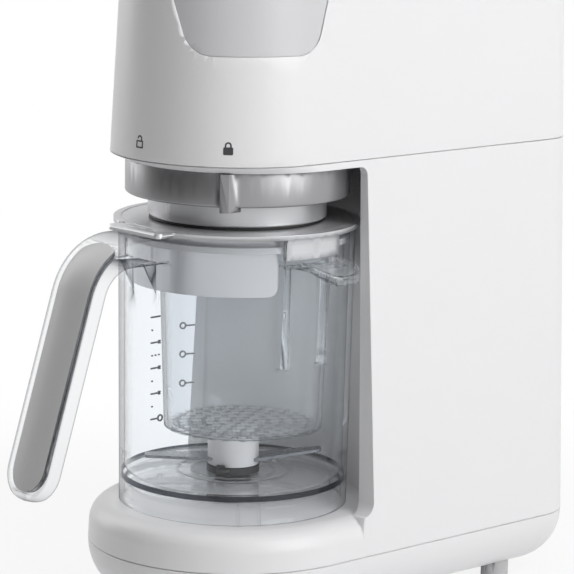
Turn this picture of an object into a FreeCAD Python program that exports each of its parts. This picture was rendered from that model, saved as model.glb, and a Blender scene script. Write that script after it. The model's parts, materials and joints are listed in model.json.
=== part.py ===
"""Baby food maker: a steamer and a blender in one housing, modelled piece by piece in millimetres.

Everything is drawn about the jug's axis, which is the local Z axis. The nose of the machine and the jug's
handle point to -Y, the tower stands to +Y, and +X is the side that the basket's finger tab shows on. As it
is written, each piece is moved so that the origin lies on the floor under the middle of the whole object.
"""
import FreeCAD
import Part
import math
import os

# Housing outline
FOOT_HEIGHT = 7.0            # floor to the underside of the base pan
PAN_DEPTH = 28.0             # underside of the pan to the base seam
PAN_ROUND = 27.0             # rounding of the pan's lower edge
BASE_HALF_WIDTH = 71.0       # half width of the body at the base seam
SIDE_DRAFT = 3.65            # degrees that the sides lean in
NOSE_LEAN = 1.2              # degrees that the centre of the round nose moves forward on the way up
REAR_REACH = 181.0           # jug axis to the flat rear face
REAR_CORNER_LOW = 30.0       # plan radius of the rear corners at the base seam
REAR_CORNER_HIGH = 18.0      # and at the top
DECK_RISE = 19.0             # base seam to the deck that the jug stands on
SHOULDER_ROUND = 11.0        # rounding of the deck's edge
LIP_HEIGHT = 3.2             # lip of the main body under the head seam
LIP_SET = 8.0                # how far that lip draws back under the nose
HEAD_HEIGHT = 94.0           # head seam to the top
TOP_ROUND = 14.0             # rounding of the top edge
WALL = 2.5                   # wall of the moulded shells
DECK_THICK = 3.5             # thickness of the deck
SEAM_GROOVE = 0.6            # depth of the shadow groove along each seam
SEAM_OPEN = 0.5              # height of that groove

# Bay that the jug stands in
BAY_FRONT = 30.0             # jug axis to the tower's front face
BAY_CORNER_LOW = 7.0         # rounding between this face and the deck
BAY_CORNER_TOP = 4.5         # and between this face and the lip
BAY_GAP = 2.0                # lid edge to the bay's round wall, at its top
BAY_DRAFT = 1.4              # degrees that this wall opens downwards
SHELF_RISE = 92.0            # deck to the shelf in the tower
SHELF_THICK = 3.0
SHELF_HOLE = 14.0            # radius of the wiring hole in the shelf

# Jug
JUG_HEIGHT = 138.0
JUG_RADIUS_TOP = 57.6
JUG_RADIUS_LOW = 56.0
JUG_WALL = 2.6
JUG_FLOOR_RISE = 10.4        # foot ring to the underside of the jug's floor
JUG_FLOOR_THICK = 3.6
JUG_FLOOR_FILLET = 4.0
SEAT_GAP = 0.1               # jug foot to deck
RIM_BEAD = 1.0               # how far the rim stands out
RIM_BEAD_HEIGHT = 2.4
NOTCH_HALF_WIDTH = 17.2      # notch in the wall for the basket's finger tab
NOTCH_DEPTH = 14.0
FLOOR_RINGS = (20.0, 27.0)   # radii of the two rings moulded in the floor
FLOOR_RING_WIDTH = 1.0
FLOOR_RING_HEIGHT = 0.6
KEY_RIB_AZIMUTH = 56.5       # pair of ribs on the foot ring, degrees from the nose
KEY_RIB_SPAN = 10.0
KEY_RIB_WIDTH = 1.6
KEY_RIB_PROUD = 0.8

# Handle
HANDLE_WIDTH = 30.0
HANDLE_THICK = 9.0
HANDLE_EDGE_ROUND = 1.3
HANDLE_TOP_DROP = 0.1        # rim to the handle's top face
HANDLE_ROOT_THICK = 13.0     # height of the handle where it leaves the wall
HANDLE_STANDOFF = 11.8       # wall to the start of the bend
HANDLE_BEND = 34.2           # radius of the bend's outer face
HANDLE_INNER_BEND = 16.6     # and of its inner face
HANDLE_LEAN = 17.4           # degrees between the leg and the vertical
HANDLE_LEG = 94.5            # straight length of the leg
HANDLE_END_FLAT = 0.4        # how far its tip is drawn in between the two roundings
INSERT_MARGIN = 2.8          # clear border beside the opaque grip insert in the outer face
INSERT_DEPTH = 3.0
INSERT_CROWN = 1.6           # how much lower its long edges lie than its middle
INSERT_GAP = 0.1
INSERT_START = 22.5          # degrees along the bend to the insert's upper end
INSERT_END_ROUND = 18.2      # radius of that end
GUSSET_X = 8.5               # two gussets under the root
GUSSET_HEIGHT = 17.0
GUSSET_DEPTH = 7.0
GUSSET_THICK = 2.2

# Lid
LID_OVERHANG = 1.4           # beyond the jug's rim
LID_THICK = 2.3
LID_SKIRT_ROOM = 2.6         # jug's wall to the skirt, at the rim
LID_SKIRT_DEPTH = 28.0
LID_WALL = 2.0
LID_SKIRT_CORNER = 5.0       # rounded lower corners beside the skirt's window
LID_TAB_WIDTH = 38.0
LID_TAB_REACH = 6.0          # beyond the lid's edge
LID_TAB_NOTCH = 2.6
LID_GROOVE_INSET = 4.4       # lid's edge to the groove's inner side
LID_GROOVE_WIDTH = 0.9
LID_GROOVE_DEPTH = 0.5
STEAM_HOLE_RADIUS = 8.0
DASH_LENGTH = 6.0            # three short grooves on the tab
DASH_WIDTH = 1.0
DASH_DEPTH = 0.4
DASH_PITCH = 8.0
SHUTTER_GAP = 0.4            # room around the shutter that closes the notch
SOCKET_DEPTH = 8.0           # ring under the lid that holds the basket's rim
SOCKET_FIT = 0.2
SOCKET_WALL = 1.8
SOCKET_BITE = 0.1            # how far the socket grows into the skirt on the +X side
LID_GASKET_DROP = 4.0        # lid's underside to the gasket
LID_GASKET_HEIGHT = 3.0
LID_GASKET_FIT = 0.15

# Steam basket
BASKET_RADIUS_TOP = 42.0
BASKET_RADIUS_LOW = 38.5
BASKET_WALL = 1.8
BASKET_PLATE_RISE = 26.0     # jug floor to the top of the perforated plate
BASKET_HOLE_RADIUS = 1.5
BASKET_HOLE_RINGS = 5
BASKET_HOLE_BORDER = 4.3     # basket's wall to the outermost ring of holes
BASKET_HOLE_PITCH = 6.6
TAB_HALF_WIDTH = 13.5        # finger tab
TAB_THICK = 3.4
TAB_LEVEL = 2.4              # jug's wall at the rim to where the tab starts to droop
TAB_BEND = 35.0
TAB_TURN = 34.0              # degrees that it droops
TAB_BORDER = 2.2
TAB_DISH = 1.5
BASKET_RIB_Y = 12.0          # two ribs under the tab
BASKET_RIB_ROOM = 3.5        # ribs to the jug's wall, at the rim
BASKET_RIB_THICK = 2.4
BASKET_RIB_LENGTH = 50.0

# Blade unit
HUB_RADIUS = 12.6
HUB_HEIGHT = 16.2
HUB_CROWN = 3.0
HUB_SEAL_RADIUS = 13.0
HUB_SEAL_HEIGHT = 3.5
HUB_SEAL_KEY = 6.0
HUB_SEAL_KEY_AZIMUTH = 28.0
RUN_GAP = 0.3                # between faces that turn past each other
BLADE_RADIUS = 45.0
BLADE_ROOT_WIDTH = 15.0
BLADE_TIP_WIDTH = 7.0
BLADE_TIP_ROUND = 2.1
BLADE_THICK = 1.4
BLADE_RISE = 6.0             # jug floor to the flat wing
BLADE_LIFT = 8.0             # degrees that the other wing is bent up
BLADE_AZIMUTH = 138.5        # direction of the raised wing
SHAFT_RADIUS = 3.0
SHAFT_FIT = 0.05             # radial clearance of shafts in bushes
JUG_BUSH_RADIUS = 6.5
JUG_BUSH_FLANGE = 9.0
JUG_BUSH_FLANGE_THICK = 2.2
TANG_WIDTH = 8.0
TANG_LENGTH = 20.0
TANG_HEIGHT = 4.0
TANG_GAP = 0.7               # tang to the bush above it

# Drive in the base
DOG_RADIUS = 13.0
DOG_HEIGHT = 6.0
DOG_SLOT_DEPTH = 3.8
DOG_SLOT_ROOM = 0.5          # either side of the tang
DOG_LIFT = 0.6               # deck to the underside of the dog
SPINDLE_RADIUS = 4.0
SPINDLE_BUSH_RADIUS = 7.0
SPINDLE_BOSS_RADIUS = 11.0
SPINDLE_BOSS_LOW = 38.0      # height of the boss's lower end above the floor
PAN_BUSH_RADIUS = 6.5
PAN_BOSS_RADIUS = 9.0
PAN_BOSS_HEIGHT = 7.5
DRIVEN_PULLEY_RADIUS = 26.0
MOTOR_PULLEY_RADIUS = 9.0
PULLEY_FLANGE = 2.5
PULLEY_FLANGE_THICK = 1.5
PULLEY_LOW = 20.0            # height of the pulleys above the floor
PULLEY_HOLES = 6
BELT_WIDTH = 8.0
BELT_THICK = 1.8
BELT_ROOM = 0.3              # belt to pulley, on every side
MOTOR_REAR = 59.0            # motor's axis to the rear face
MOTOR_RADIUS = 31.0
MOTOR_LENGTH = 80.0
MOTOR_END_BELL = 12.0
MOTOR_SLOTS = 6
MOTOR_SLOT_DROP = 18.0       # top of the motor to its vent slots
MOTOR_SLOT_LENGTH = 18.0
MOTOR_SLOT_WIDTH = 4.8
MOTOR_SLOT_DEPTH = 2.5
MOTOR_SHAFT_RADIUS = 3.0
BRACKET_RISE = 32.0          # pan floor to the motor bracket
BRACKET_THICK = 3.0
BRACKET_HALF_X = 40.0
BRACKET_HALF_Y = 36.0
POST_RADIUS = 5.0
POST_X = 34.0
POST_Y = 28.0                # from the motor's axis

# Feet and screws
FOOT_RADIUS = 7.0
FOOT_CHAMFER = 1.0
FRONT_FOOT_SIDE = 31.0       # side of the body to a front foot
FRONT_FOOT_NOSE = 41.0       # tip of the nose to a front foot
REAR_FOOT_SIDE = 22.0
REAR_FOOT_REAR = 43.0        # rear face to a rear foot
SCREW_SIDE = 27.0            # side of the body to a screw
SCREW_FRONT_Y = 4.0
SCREW_REAR = 15.0            # rear face to the rear screws
SCREW_RADIUS = 2.0
SCREW_FIT = 0.15
SCREW_HEAD_RADIUS = 4.0
SCREW_HEAD_HEIGHT = 3.0
SCREW_SLOT = 1.0
SCREW_BITE = 10.0            # length of the screw above the base seam
BOSS_RADIUS = 6.0
BOSS_RISE = 14.0             # height of the main body's bosses above the base seam
BOSS_WEB = 2.0
VENT_COUNT = 7
VENT_WIDTH = 2.4
VENT_LENGTH = 34.0
VENT_PITCH = 6.0

# Lock ring, collar and steam nozzle
SEAL_GAP = 0.3               # lid to the collar's gasket
GASKET_HEIGHT = 1.0
GASKET_WIDTH = 6.0
COLLAR_RADIUS = 43.4
COLLAR_SHOW = 11.2           # height of the collar below the lock ring
COLLAR_ROUND = 1.2
COLLAR_HEIGHT = 28.0
COLLAR_WALL = 2.5
COLLAR_FLOOR = 3.0
COLLAR_HUB_RADIUS = 11.0
COLLAR_HUB_HEIGHT = 18.0
COLLAR_LIFT = 8.0            # travel of the collar
LOCK_TURN = 43.0             # degrees of the lock ring, from locked to open
RING_SHOW = 16.2             # height of the ring below the head
RING_ROOM = 4.0              # collar to the ring's bore
RING_WALL = 7.2
RING_NECK = 3.0              # wall of the neck that goes up through the head's floor
RING_FLANGE = 3.0
RING_FLANGE_THICK = 2.5
RING_EDGE_ROUND = 1.2
LEVER_AZIMUTH = 42.4
LEVER_WIDTH = 4.4
LEVER_PROUD = 3.0
LEVER_FLARE = 5.0
LEVER_DROP = 2.0
PEG_COUNT = 3
PEG_RADIUS = 2.2
PEG_RISE = 15.5              # collar's lower face to the middle of the pegs
PEG_REACH = 2.4              # into the ring's wall
PEG_ROOM = 0.4
CAM_SECTIONS = 9
NOZZLE_RADIUS = 7.0
NOZZLE_BORE = 4.0
NOZZLE_CLEAR = 2.4           # lid to the nozzle's mouth
NOZZLE_FIT = 0.08
NOZZLE_KEY_WIDTH = 3.0
NOZZLE_KEY_PROUD = 1.8
NOZZLE_FLANGE = 11.0
NOZZLE_FLANGE_THICK = 2.5
NOZZLE_SPIGOT = 10.0
ARM_RISE = 30.0              # head floor to the underside of the nozzle arm
ARM_THICK = 4.0
ARM_HALF_WIDTH = 14.0
ARM_FOOT = 16.0

# Steam maker in the tower
BOILER_RADIUS = 27.0
BOILER_HEIGHT = 42.0
BOILER_FLANGE = 33.0
BOILER_FLANGE_THICK = 4.0
BOILER_FINS = 4
BOILER_FIN_REACH = 2.5
BOILER_FIN_THICK = 2.0
BOILER_FIN_PITCH = 7.0
BOILER_OUTLET = 18.0         # boiler's axis to its outlet
BOILER_SPIGOT_RADIUS = 3.6
BOILER_SPIGOT = 9.0
THERMOSTAT_RADIUS = 8.0
THERMOSTAT_HEIGHT = 5.0
THERMOSTAT_CAP_RADIUS = 5.6
THERMOSTAT_CAP_HEIGHT = 3.0
TUBE_RADIUS = 5.5
TUBE_BORE = 3.6
TUBE_TOP = 20.0              # nozzle arm to the upper level run of the steam tube
TUBE_RISE = 25.0             # boiler to its lower level run
TUBE_SHIFT = 22.0            # length of that run
TUBE_BEND_SHARE = 0.45       # radius of the bends, as a share of that run
TUBE_TANK_ROOM = 12.0        # middle of the steam tube to the tank's front
TUBE_FLOOR_ROOM = 8.0        # middle of the steam tube to the floor under the head

# Water tank and its lid
TANK_HALF_WIDTH = 38.0
TANK_FRONT = 98.0
TANK_REAR = 17.0             # tank to the rear face
TANK_SPOUT_SHARE = 2 / 3     # place of the spout along the tank
TANK_DEPTH = 76.0
TANK_WALL = 2.0
TANK_LID_HALF_WIDTH = 36.0
TANK_LID_THICK = 3.6
TANK_LID_GAP = 0.5
TANK_LID_CORNER = 6.0
TANK_LID_LEDGE = 4.0         # ledge under the lid's edge
WELL_WALL = 2.5
WELL_FLOOR = 4.0
PIN_RADIUS = 1.0
PIN_FIT = 0.05
SCOOP_RADIUS = 9.0

# Control fascia and controls
PANEL_AZIMUTH = 62.0         # degrees from the nose towards +X
PANEL_RISE = 51.5            # head seam to the fascia's lower edge
PANEL_HALF_WIDTH = 30.0
PANEL_FLARE = 14.2           # degrees that its sides open upwards
PANEL_CORNER = 12.5
PANEL_SINK = 0.4             # fascia below the surface around it
PANEL_THICK = 1.0
PANEL_GAP = 0.25
DIAL_RADIUS = 19.0
DIAL_HEIGHT = 11.0
DIAL_TAPER = 1.5
DIAL_LIFT = 0.6
DIAL_GRIPS = 18
DIAL_GRIP_RADIUS = 1.6
DIAL_SHAFT_RADIUS = 3.0
DIAL_EDGE_ROUND = 1.5
BUTTON_RADIUS = 6.0
BUTTON_PROUD = 1.6
CONTROL_EDGE = 8.8           # edge of the flat top to the middle of the buttons
BUTTON_SPREAD = 26.0         # degrees either side of the fascia's middle
BUTTON_GAP = 0.35
BUTTON_FLANGE = 1.6
BUTTON_FLANGE_THICK = 1.4
BUTTON_STEM_RADIUS = 2.2
BUTTON_TRAVEL = 1.2
BOARD_DROP = 24.0            # top to the circuit board
BOARD_THICK = 1.6
BOARD_MARGIN = 10.0          # middle of the front button's place to the board's front edge
BOARD_REAR = 30.0
BOARD_POST_RADIUS = 3.0
BOARD_POST_INSET = 5.0
ENCODER_HALF = 7.0
ENCODER_HEIGHT = 8.0
SWITCH_HALF = 3.2
SWITCH_HEIGHT = 4.0

# Cord gland in the rear wall
GLAND_X = 30.0
GLAND_RISE = 30.0            # base seam to the middle of the gland
GLAND_RADIUS = 5.5
GLAND_BORE = 3.6
GLAND_FLANGE = 8.0
GLAND_FLANGE_THICK = 2.0

# Drawing aids
OVERCUT = 1.0                # how far a cutting form runs past the face that it opens
SAME = 1e-4                  # lengths closer than this are the same

# Places that follow from the sizes above
LID_RADIUS = JUG_RADIUS_TOP + RIM_BEAD + LID_OVERHANG
LID_SKIRT_RADIUS = JUG_RADIUS_TOP - JUG_WALL - LID_SKIRT_ROOM
SOCKET_BORE = BASKET_RADIUS_TOP + SOCKET_FIT
BASKET_RIB_REACH = JUG_RADIUS_TOP - JUG_WALL - BASKET_RIB_ROOM
TAB_BEND_X = JUG_RADIUS_TOP + TAB_LEVEL
BASKET_OFFSET = LID_SKIRT_RADIUS - LID_WALL + SOCKET_BITE - SOCKET_BORE - SOCKET_WALL
MOTOR_Y = REAR_REACH - MOTOR_REAR
TANK_LENGTH = REAR_REACH - TANK_REAR - TANK_FRONT
TUBE_DOWN_Y = TANK_FRONT - TUBE_TANK_ROOM
HEAD_FLOOR_REAR = TUBE_DOWN_Y - TUBE_FLOOR_ROOM
BOILER_OUTLET_Y = TUBE_DOWN_Y + TUBE_SHIFT
BOILER_Y = BOILER_OUTLET_Y + BOILER_OUTLET
SPOUT_Y = TANK_FRONT + TANK_SPOUT_SHARE * TANK_LENGTH

# Heights that follow from the sizes above
BASE_SEAM = FOOT_HEIGHT + PAN_DEPTH
DECK = BASE_SEAM + DECK_RISE
SEAT = DECK + SEAT_GAP
RIM = SEAT + JUG_HEIGHT
JUG_FLOOR = SEAT + JUG_FLOOR_RISE + JUG_FLOOR_THICK
LID_TOP = RIM + LID_THICK
COLLAR_LOW = LID_TOP + SEAL_GAP + GASKET_HEIGHT
RING_LOW = COLLAR_LOW + COLLAR_SHOW
LIP_LOW = RING_LOW + RING_SHOW + RUN_GAP
HEAD_SEAM = LIP_LOW + LIP_HEIGHT
TOP = HEAD_SEAM + HEAD_HEIGHT
PAN_FLOOR = FOOT_HEIGHT + WALL
SHELF = DECK + SHELF_RISE
PLATE_TOP = JUG_FLOOR + BASKET_PLATE_RISE
NOTCH_LOW = RIM - NOTCH_DEPTH
RING_BORE = COLLAR_RADIUS + RING_ROOM
RING_RADIUS = RING_BORE + RING_WALL
NECK_RADIUS = RING_BORE + RING_NECK
PEG_HEIGHT = COLLAR_LOW + PEG_RISE
ARM_LOW = HEAD_SEAM + ARM_RISE
ARM_TOP = ARM_LOW + ARM_THICK
BOARD_TOP = TOP - BOARD_DROP
PANEL_LOW = HEAD_SEAM + PANEL_RISE
WELL_LOW = TOP - TANK_LID_THICK - TANK_LID_GAP - WELL_FLOOR
TANK_LOW = WELL_LOW - TANK_DEPTH
BRACKET_LOW = PAN_FLOOR + BRACKET_RISE
BRACKET_TOP = BRACKET_LOW + BRACKET_THICK
PULLEY_HIGH = PULLEY_LOW + BELT_WIDTH + 2 * BELT_ROOM + 2 * PULLEY_FLANGE_THICK
BELT_LOW = PULLEY_LOW + PULLEY_FLANGE_THICK + BELT_ROOM
DOG_LOW = DECK + DOG_LIFT
DOG_TOP = DOG_LOW + DOG_HEIGHT
BUSH_FLANGE_LOW = SEAT + JUG_FLOOR_RISE - JUG_BUSH_FLANGE_THICK
TANG_TOP = BUSH_FLANGE_LOW - TANG_GAP
HUB_LOW = JUG_FLOOR + HUB_SEAL_HEIGHT + RUN_GAP
BLADE_LOW = JUG_FLOOR + BLADE_RISE
HANDLE_TOP = RIM - HANDLE_TOP_DROP
HANDLE_UNDER = HANDLE_TOP - HANDLE_ROOT_THICK

# Reaches, and the place of the jug's axis in the finished frame
LEAN = math.radians(HANDLE_LEAN)
BEND_Y = -(JUG_RADIUS_TOP + HANDLE_STANDOFF)
BEND_Z = HANDLE_TOP - HANDLE_BEND
LEG_Y = BEND_Y - HANDLE_BEND * math.cos(LEAN)
LEG_Z = BEND_Z + HANDLE_BEND * math.sin(LEAN)
HANDLE_TIP_Y = LEG_Y - HANDLE_LEG * math.sin(LEAN) + HANDLE_THICK / 2 * math.cos(LEAN)
HANDLE_REACH = HANDLE_THICK / 2 - HANDLE_TIP_Y
TAB_MID = NOTCH_LOW + TAB_THICK / 2
TAB_REACH = TAB_BEND_X + (TAB_BEND + TAB_THICK / 2) * math.sin(math.radians(TAB_TURN))
AXIS_X = (BASE_HALF_WIDTH - TAB_REACH) / 2
AXIS_Y = (HANDLE_REACH - REAR_REACH) / 2
FAR = 4 * REAR_REACH          # longer than anything, for cutting planes


def vec(x, y, z=0.0):
    """Return a point or direction."""
    return FreeCAD.Vector(x, y, z)


def cyl(radius, low, high, x=0.0, y=0.0):
    """Return an upright cylinder between two heights."""
    return Part.makeCylinder(radius, high - low, vec(x, y, low))


def ring(outer, inner, low, high, x=0.0, y=0.0):
    """Return an upright tube between two heights."""
    return cyl(outer, low, high, x, y).cut(cyl(inner, low, high, x, y))


def cone(radius_low, radius_high, low, high, x=0.0, y=0.0):
    """Return an upright cone frustum between two heights."""
    return Part.makeCone(radius_low, radius_high, high - low, vec(x, y, low))


def block(x0, x1, y0, y1, z0, z1):
    """Return a box between two corners."""
    return Part.makeBox(x1 - x0, y1 - y0, z1 - z0, vec(x0, y0, z0))


def fused(shapes):
    """Return the union of several solids as one clean solid."""
    return shapes[0].multiFuse(shapes[1:]).removeSplitter()


def line(a, b):
    """Return a straight edge."""
    return Part.LineSegment(a, b).toShape()


def arc(a, middle, b):
    """Return a circular edge through three points."""
    return Part.Arc(a, middle, b).toShape()


def plate(corners, thickness):
    """Return the prism over a polygon, swept by a vector."""
    return Part.Face(Part.makePolygon(corners + corners[:1])).extrude(thickness)


def turned(solid, azimuth):
    """Return a solid turned about the jug's axis, in degrees."""
    copy = solid.copy()
    copy.rotate(vec(0, 0, 0), vec(0, 0, 1), azimuth)
    return copy


def level_edges(solid, z):
    """Return the edges of a solid that lie wholly at one height."""
    found = []
    for edge in solid.Edges:
        if all(abs(vertex.Z - z) < SAME for vertex in edge.Vertexes):
            found.append(edge)
    return found


def edges_of_length(solid, length):
    """Return the edges of a solid that have one length."""
    return [edge for edge in solid.Edges if abs(edge.Length - length) < SAME]


def behind(y):
    """Return the half space at and behind a plane, as a large box."""
    return block(-FAR, FAR, y, FAR, -FAR, FAR)


def half_width(z):
    """Return the body's half width at a height."""
    return BASE_HALF_WIDTH - (z - BASE_SEAM) * math.tan(math.radians(SIDE_DRAFT))


def nose_centre(z):
    """Return the place of the round nose's centre at a height."""
    return -(z - BASE_SEAM) * math.tan(math.radians(NOSE_LEAN))


def rear_corner(z):
    """Return the plan radius of the rear corners at a height."""
    share = (z - BASE_SEAM) / (TOP - BASE_SEAM)
    return REAR_CORNER_LOW + share * (REAR_CORNER_HIGH - REAR_CORNER_LOW)


def plan_wire(z, inset=0.0, nose_back=0.0):
    """Return the body's plan outline at a height: a round nose, straight sides and rounded rear corners."""
    w = half_width(z) - inset
    c = nose_centre(z) + nose_back
    rear = REAR_REACH - inset
    r = rear_corner(z) - inset
    s = w * math.sqrt(0.5)
    q = r * math.sqrt(0.5)
    left = vec(-w, c, z)
    tip = vec(0, c - w, z)
    right = vec(w, c, z)
    right_end = vec(w, rear - r, z)
    rear_right = vec(w - r, rear, z)
    rear_left = vec(r - w, rear, z)
    left_end = vec(-w, rear - r, z)
    return Part.Wire([
        arc(left, vec(-s, c - s, z), tip),
        arc(tip, vec(s, c - s, z), right),
        line(right, right_end),
        arc(right_end, vec(w - r + q, rear - r + q, z), rear_right),
        line(rear_right, rear_left),
        arc(rear_left, vec(r - w - q, rear - r + q, z), left_end),
        line(left_end, left),
    ])


def body_block(low, high, inset=0.0, nose_back_low=0.0):
    """Return the drafted body between two heights, drawn in by an inset."""
    wires = [plan_wire(low, inset, nose_back_low), plan_wire(high, inset)]
    return Part.makeLoft(wires, True, True)


def pan_block(inset=0.0):
    """Return the outer or inner form of the base pan, with its rounded lower edge."""
    depth = PAN_DEPTH - inset
    solid = Part.Face(plan_wire(BASE_SEAM, inset)).extrude(vec(0, 0, -depth))
    return solid.makeFillet(PAN_ROUND - inset, level_edges(solid, BASE_SEAM - depth))


def deck_block(low, inset=0.0, top_drop=0.0):
    """Return the outer or inner form of the base under the deck, with its rounded shoulder."""
    high = DECK - top_drop
    solid = body_block(low, high, inset)
    return solid.makeFillet(SHOULDER_ROUND - inset, level_edges(solid, high))


def head_block(low, inset=0.0):
    """Return the outer or inner form of the head, with its rounded top edge."""
    solid = body_block(low, TOP - inset, inset)
    return solid.makeFillet(TOP_ROUND - inset, level_edges(solid, TOP - inset))


def bay_radius(z):
    """Return the radius of the bay's round wall at a height."""
    return LID_RADIUS + BAY_GAP + (LIP_LOW - z) * math.tan(math.radians(BAY_DRAFT))


def both_sides(x, y):
    """Return a place and its mirror image."""
    return [(x, y), (-x, y)]


def screw_places():
    """Return the places of the four base screws."""
    x = BASE_HALF_WIDTH - SCREW_SIDE
    return both_sides(x, SCREW_FRONT_Y) + both_sides(x, REAR_REACH - SCREW_REAR)


def foot_places():
    """Return the places of the four feet."""
    front = both_sides(BASE_HALF_WIDTH - FRONT_FOOT_SIDE, FRONT_FOOT_NOSE - BASE_HALF_WIDTH)
    return front + both_sides(BASE_HALF_WIDTH - REAR_FOOT_SIDE, REAR_REACH - REAR_FOOT_REAR)


def post_places():
    """Return the places of the posts that carry the motor bracket."""
    return both_sides(POST_X, MOTOR_Y - POST_Y) + both_sides(POST_X, MOTOR_Y + POST_Y)


def control_reach():
    """Return the distance from the dial to the buttons on the flat top."""
    return half_width(TOP) - TOP_ROUND - CONTROL_EDGE


def button_places():
    """Return the places of the two push buttons beside the dial."""
    places = []
    for side in (-1, 1):
        angle = math.radians(PANEL_AZIMUTH + side * BUTTON_SPREAD)
        x = control_reach() * math.sin(angle)
        y = nose_centre(TOP) - control_reach() * math.cos(angle)
        places.append((x, y))
    return places


def board_front():
    """Return the place of the circuit board's front edge."""
    return nose_centre(TOP) - control_reach() - BOARD_MARGIN


def board_post_places():
    """Return the places of the posts that carry the circuit board."""
    x = control_reach() - BOARD_POST_INSET
    return both_sides(x, board_front() + BOARD_POST_INSET) + both_sides(x, BOARD_REAR - BOARD_POST_INSET)


def base_pan():
    """Return the lower tray of the housing: bosses, posts, a bush seat, vents and a seam groove."""
    shell = pan_block().cut(pan_block(WALL))
    inside = pan_block(WALL / 2)
    bosses = [cyl(BOSS_RADIUS, FOOT_HEIGHT, BASE_SEAM, x, y).common(inside) for x, y in screw_places()]
    posts = [cyl(POST_RADIUS, PAN_FLOOR - WALL / 2, BRACKET_LOW, x, y) for x, y in post_places()]
    seat = cyl(PAN_BOSS_RADIUS, PAN_FLOOR - WALL / 2, PAN_FLOOR + PAN_BOSS_HEIGHT)
    pan = fused([shell, seat] + bosses + posts)
    for x, y in screw_places():
        pan = pan.cut(cyl(SCREW_RADIUS + SCREW_FIT, 0, BASE_SEAM, x, y))
        pan = pan.cut(cyl(SCREW_HEAD_RADIUS + SCREW_FIT, 0, BASE_SEAM - PAN_DEPTH / 2, x, y))
    pan = pan.cut(cyl(PAN_BUSH_RADIUS, PAN_FLOOR, PAN_FLOOR + PAN_BOSS_HEIGHT))
    for i in range(VENT_COUNT):
        y = MOTOR_Y + (i - (VENT_COUNT - 1) / 2) * VENT_PITCH
        half = VENT_LENGTH / 2
        pan = pan.cut(block(-half, half, y - VENT_WIDTH / 2, y + VENT_WIDTH / 2, 0, PAN_FLOOR))
    groove = Part.Face(plan_wire(BASE_SEAM)).extrude(vec(0, 0, -SEAM_OPEN))
    core = Part.Face(plan_wire(BASE_SEAM, SEAM_GROOVE)).extrude(vec(0, 0, -SEAM_OPEN))
    return pan.cut(groove.cut(core))


def bay_corners():
    """Return what rounds the corners between the tower's front face and the deck below and the lip above."""
    low_y = BAY_FRONT - BAY_CORNER_LOW
    low_z = DECK + BAY_CORNER_LOW
    low = block(-FAR, FAR, low_y, BAY_FRONT, DECK - SHOULDER_ROUND, low_z)
    low = low.cut(Part.makeCylinder(BAY_CORNER_LOW, 2 * FAR, vec(-FAR, low_y, low_z), vec(1, 0, 0)))
    top_y = BAY_FRONT - BAY_CORNER_TOP
    top_z = LIP_LOW - BAY_CORNER_TOP
    top = block(-FAR, FAR, top_y, BAY_FRONT, top_z, LIP_LOW)
    top = top.cut(Part.makeCylinder(BAY_CORNER_TOP, 2 * FAR, vec(-FAR, top_y, top_z), vec(1, 0, 0)))
    outline = body_block(BASE_SEAM, HEAD_SEAM)
    return [low.common(outline), top.common(outline)]


def main_body():
    """Return the C-shaped main shell: base shoulder, deck, tower with the jug bay and the head's floor."""
    front = block(-FAR, FAR, -FAR, BAY_FRONT, -FAR, FAR)
    base = deck_block(BASE_SEAM).common(front)
    tower = body_block(BASE_SEAM, HEAD_SEAM).common(behind(BAY_FRONT))
    lip = body_block(LIP_LOW, HEAD_SEAM, 0.0, LIP_SET).common(front)
    bay = cone(bay_radius(DECK), bay_radius(LIP_LOW), DECK, LIP_LOW)
    bay_back = cone(bay_radius(DECK) + WALL, bay_radius(LIP_LOW) + WALL, DECK - DECK_THICK, LIP_LOW)
    body = fused([base, tower, lip] + bay_corners()).cut(bay)
    under_deck = deck_block(BASE_SEAM - OVERCUT, WALL, DECK_THICK)
    hollow = body_block(BASE_SEAM - OVERCUT, HEAD_SEAM + OVERCUT, WALL).common(behind(BAY_FRONT + WALL))
    hollow = hollow.cut(bay_back)
    hollow = hollow.cut(block(-FAR, FAR, -FAR, HEAD_FLOOR_REAR, LIP_LOW, FAR))
    shelf = block(-FAR, FAR, -FAR, FAR, SHELF - SHELF_THICK, SHELF)
    shelf = shelf.cut(cyl(SHELF_HOLE, SHELF - SHELF_THICK, SHELF, 0, REAR_REACH - 2 * SHELF_HOLE))
    hollow = hollow.cut(shelf)
    body = body.cut(under_deck).cut(hollow)
    body = body.cut(cyl(NECK_RADIUS + RUN_GAP, LIP_LOW, HEAD_SEAM))
    inside = body_block(BASE_SEAM, DECK, WALL / 2)
    added = [cyl(SPINDLE_BOSS_RADIUS, SPINDLE_BOSS_LOW, DECK - DECK_THICK / 2)]
    for x, y in screw_places():
        boss = cyl(BOSS_RADIUS, BASE_SEAM, BASE_SEAM + BOSS_RISE, x, y)
        outer = math.copysign(BASE_HALF_WIDTH, x)
        web = block(min(x, outer), max(x, outer), y - BOSS_WEB / 2, y + BOSS_WEB / 2,
                    BASE_SEAM, BASE_SEAM + BOSS_RISE)
        added.append(boss.fuse(web).common(inside))
    body = body.multiFuse(added)
    body = body.cut(cyl(SPINDLE_BUSH_RADIUS, SPINDLE_BOSS_LOW, DECK))
    for x, y in screw_places():
        body = body.cut(cyl(SCREW_RADIUS, BASE_SEAM, BASE_SEAM + SCREW_BITE + SCREW_RADIUS, x, y))
    return body.cut(gland_bar(GLAND_RADIUS, REAR_REACH - 2 * WALL, REAR_REACH))


def gland_bar(radius, front, rear):
    """Return a round bar through the rear wall at the gland's place."""
    return Part.makeCylinder(radius, rear - front, vec(GLAND_X, front, BASE_SEAM + GLAND_RISE), vec(0, 1, 0))


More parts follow.
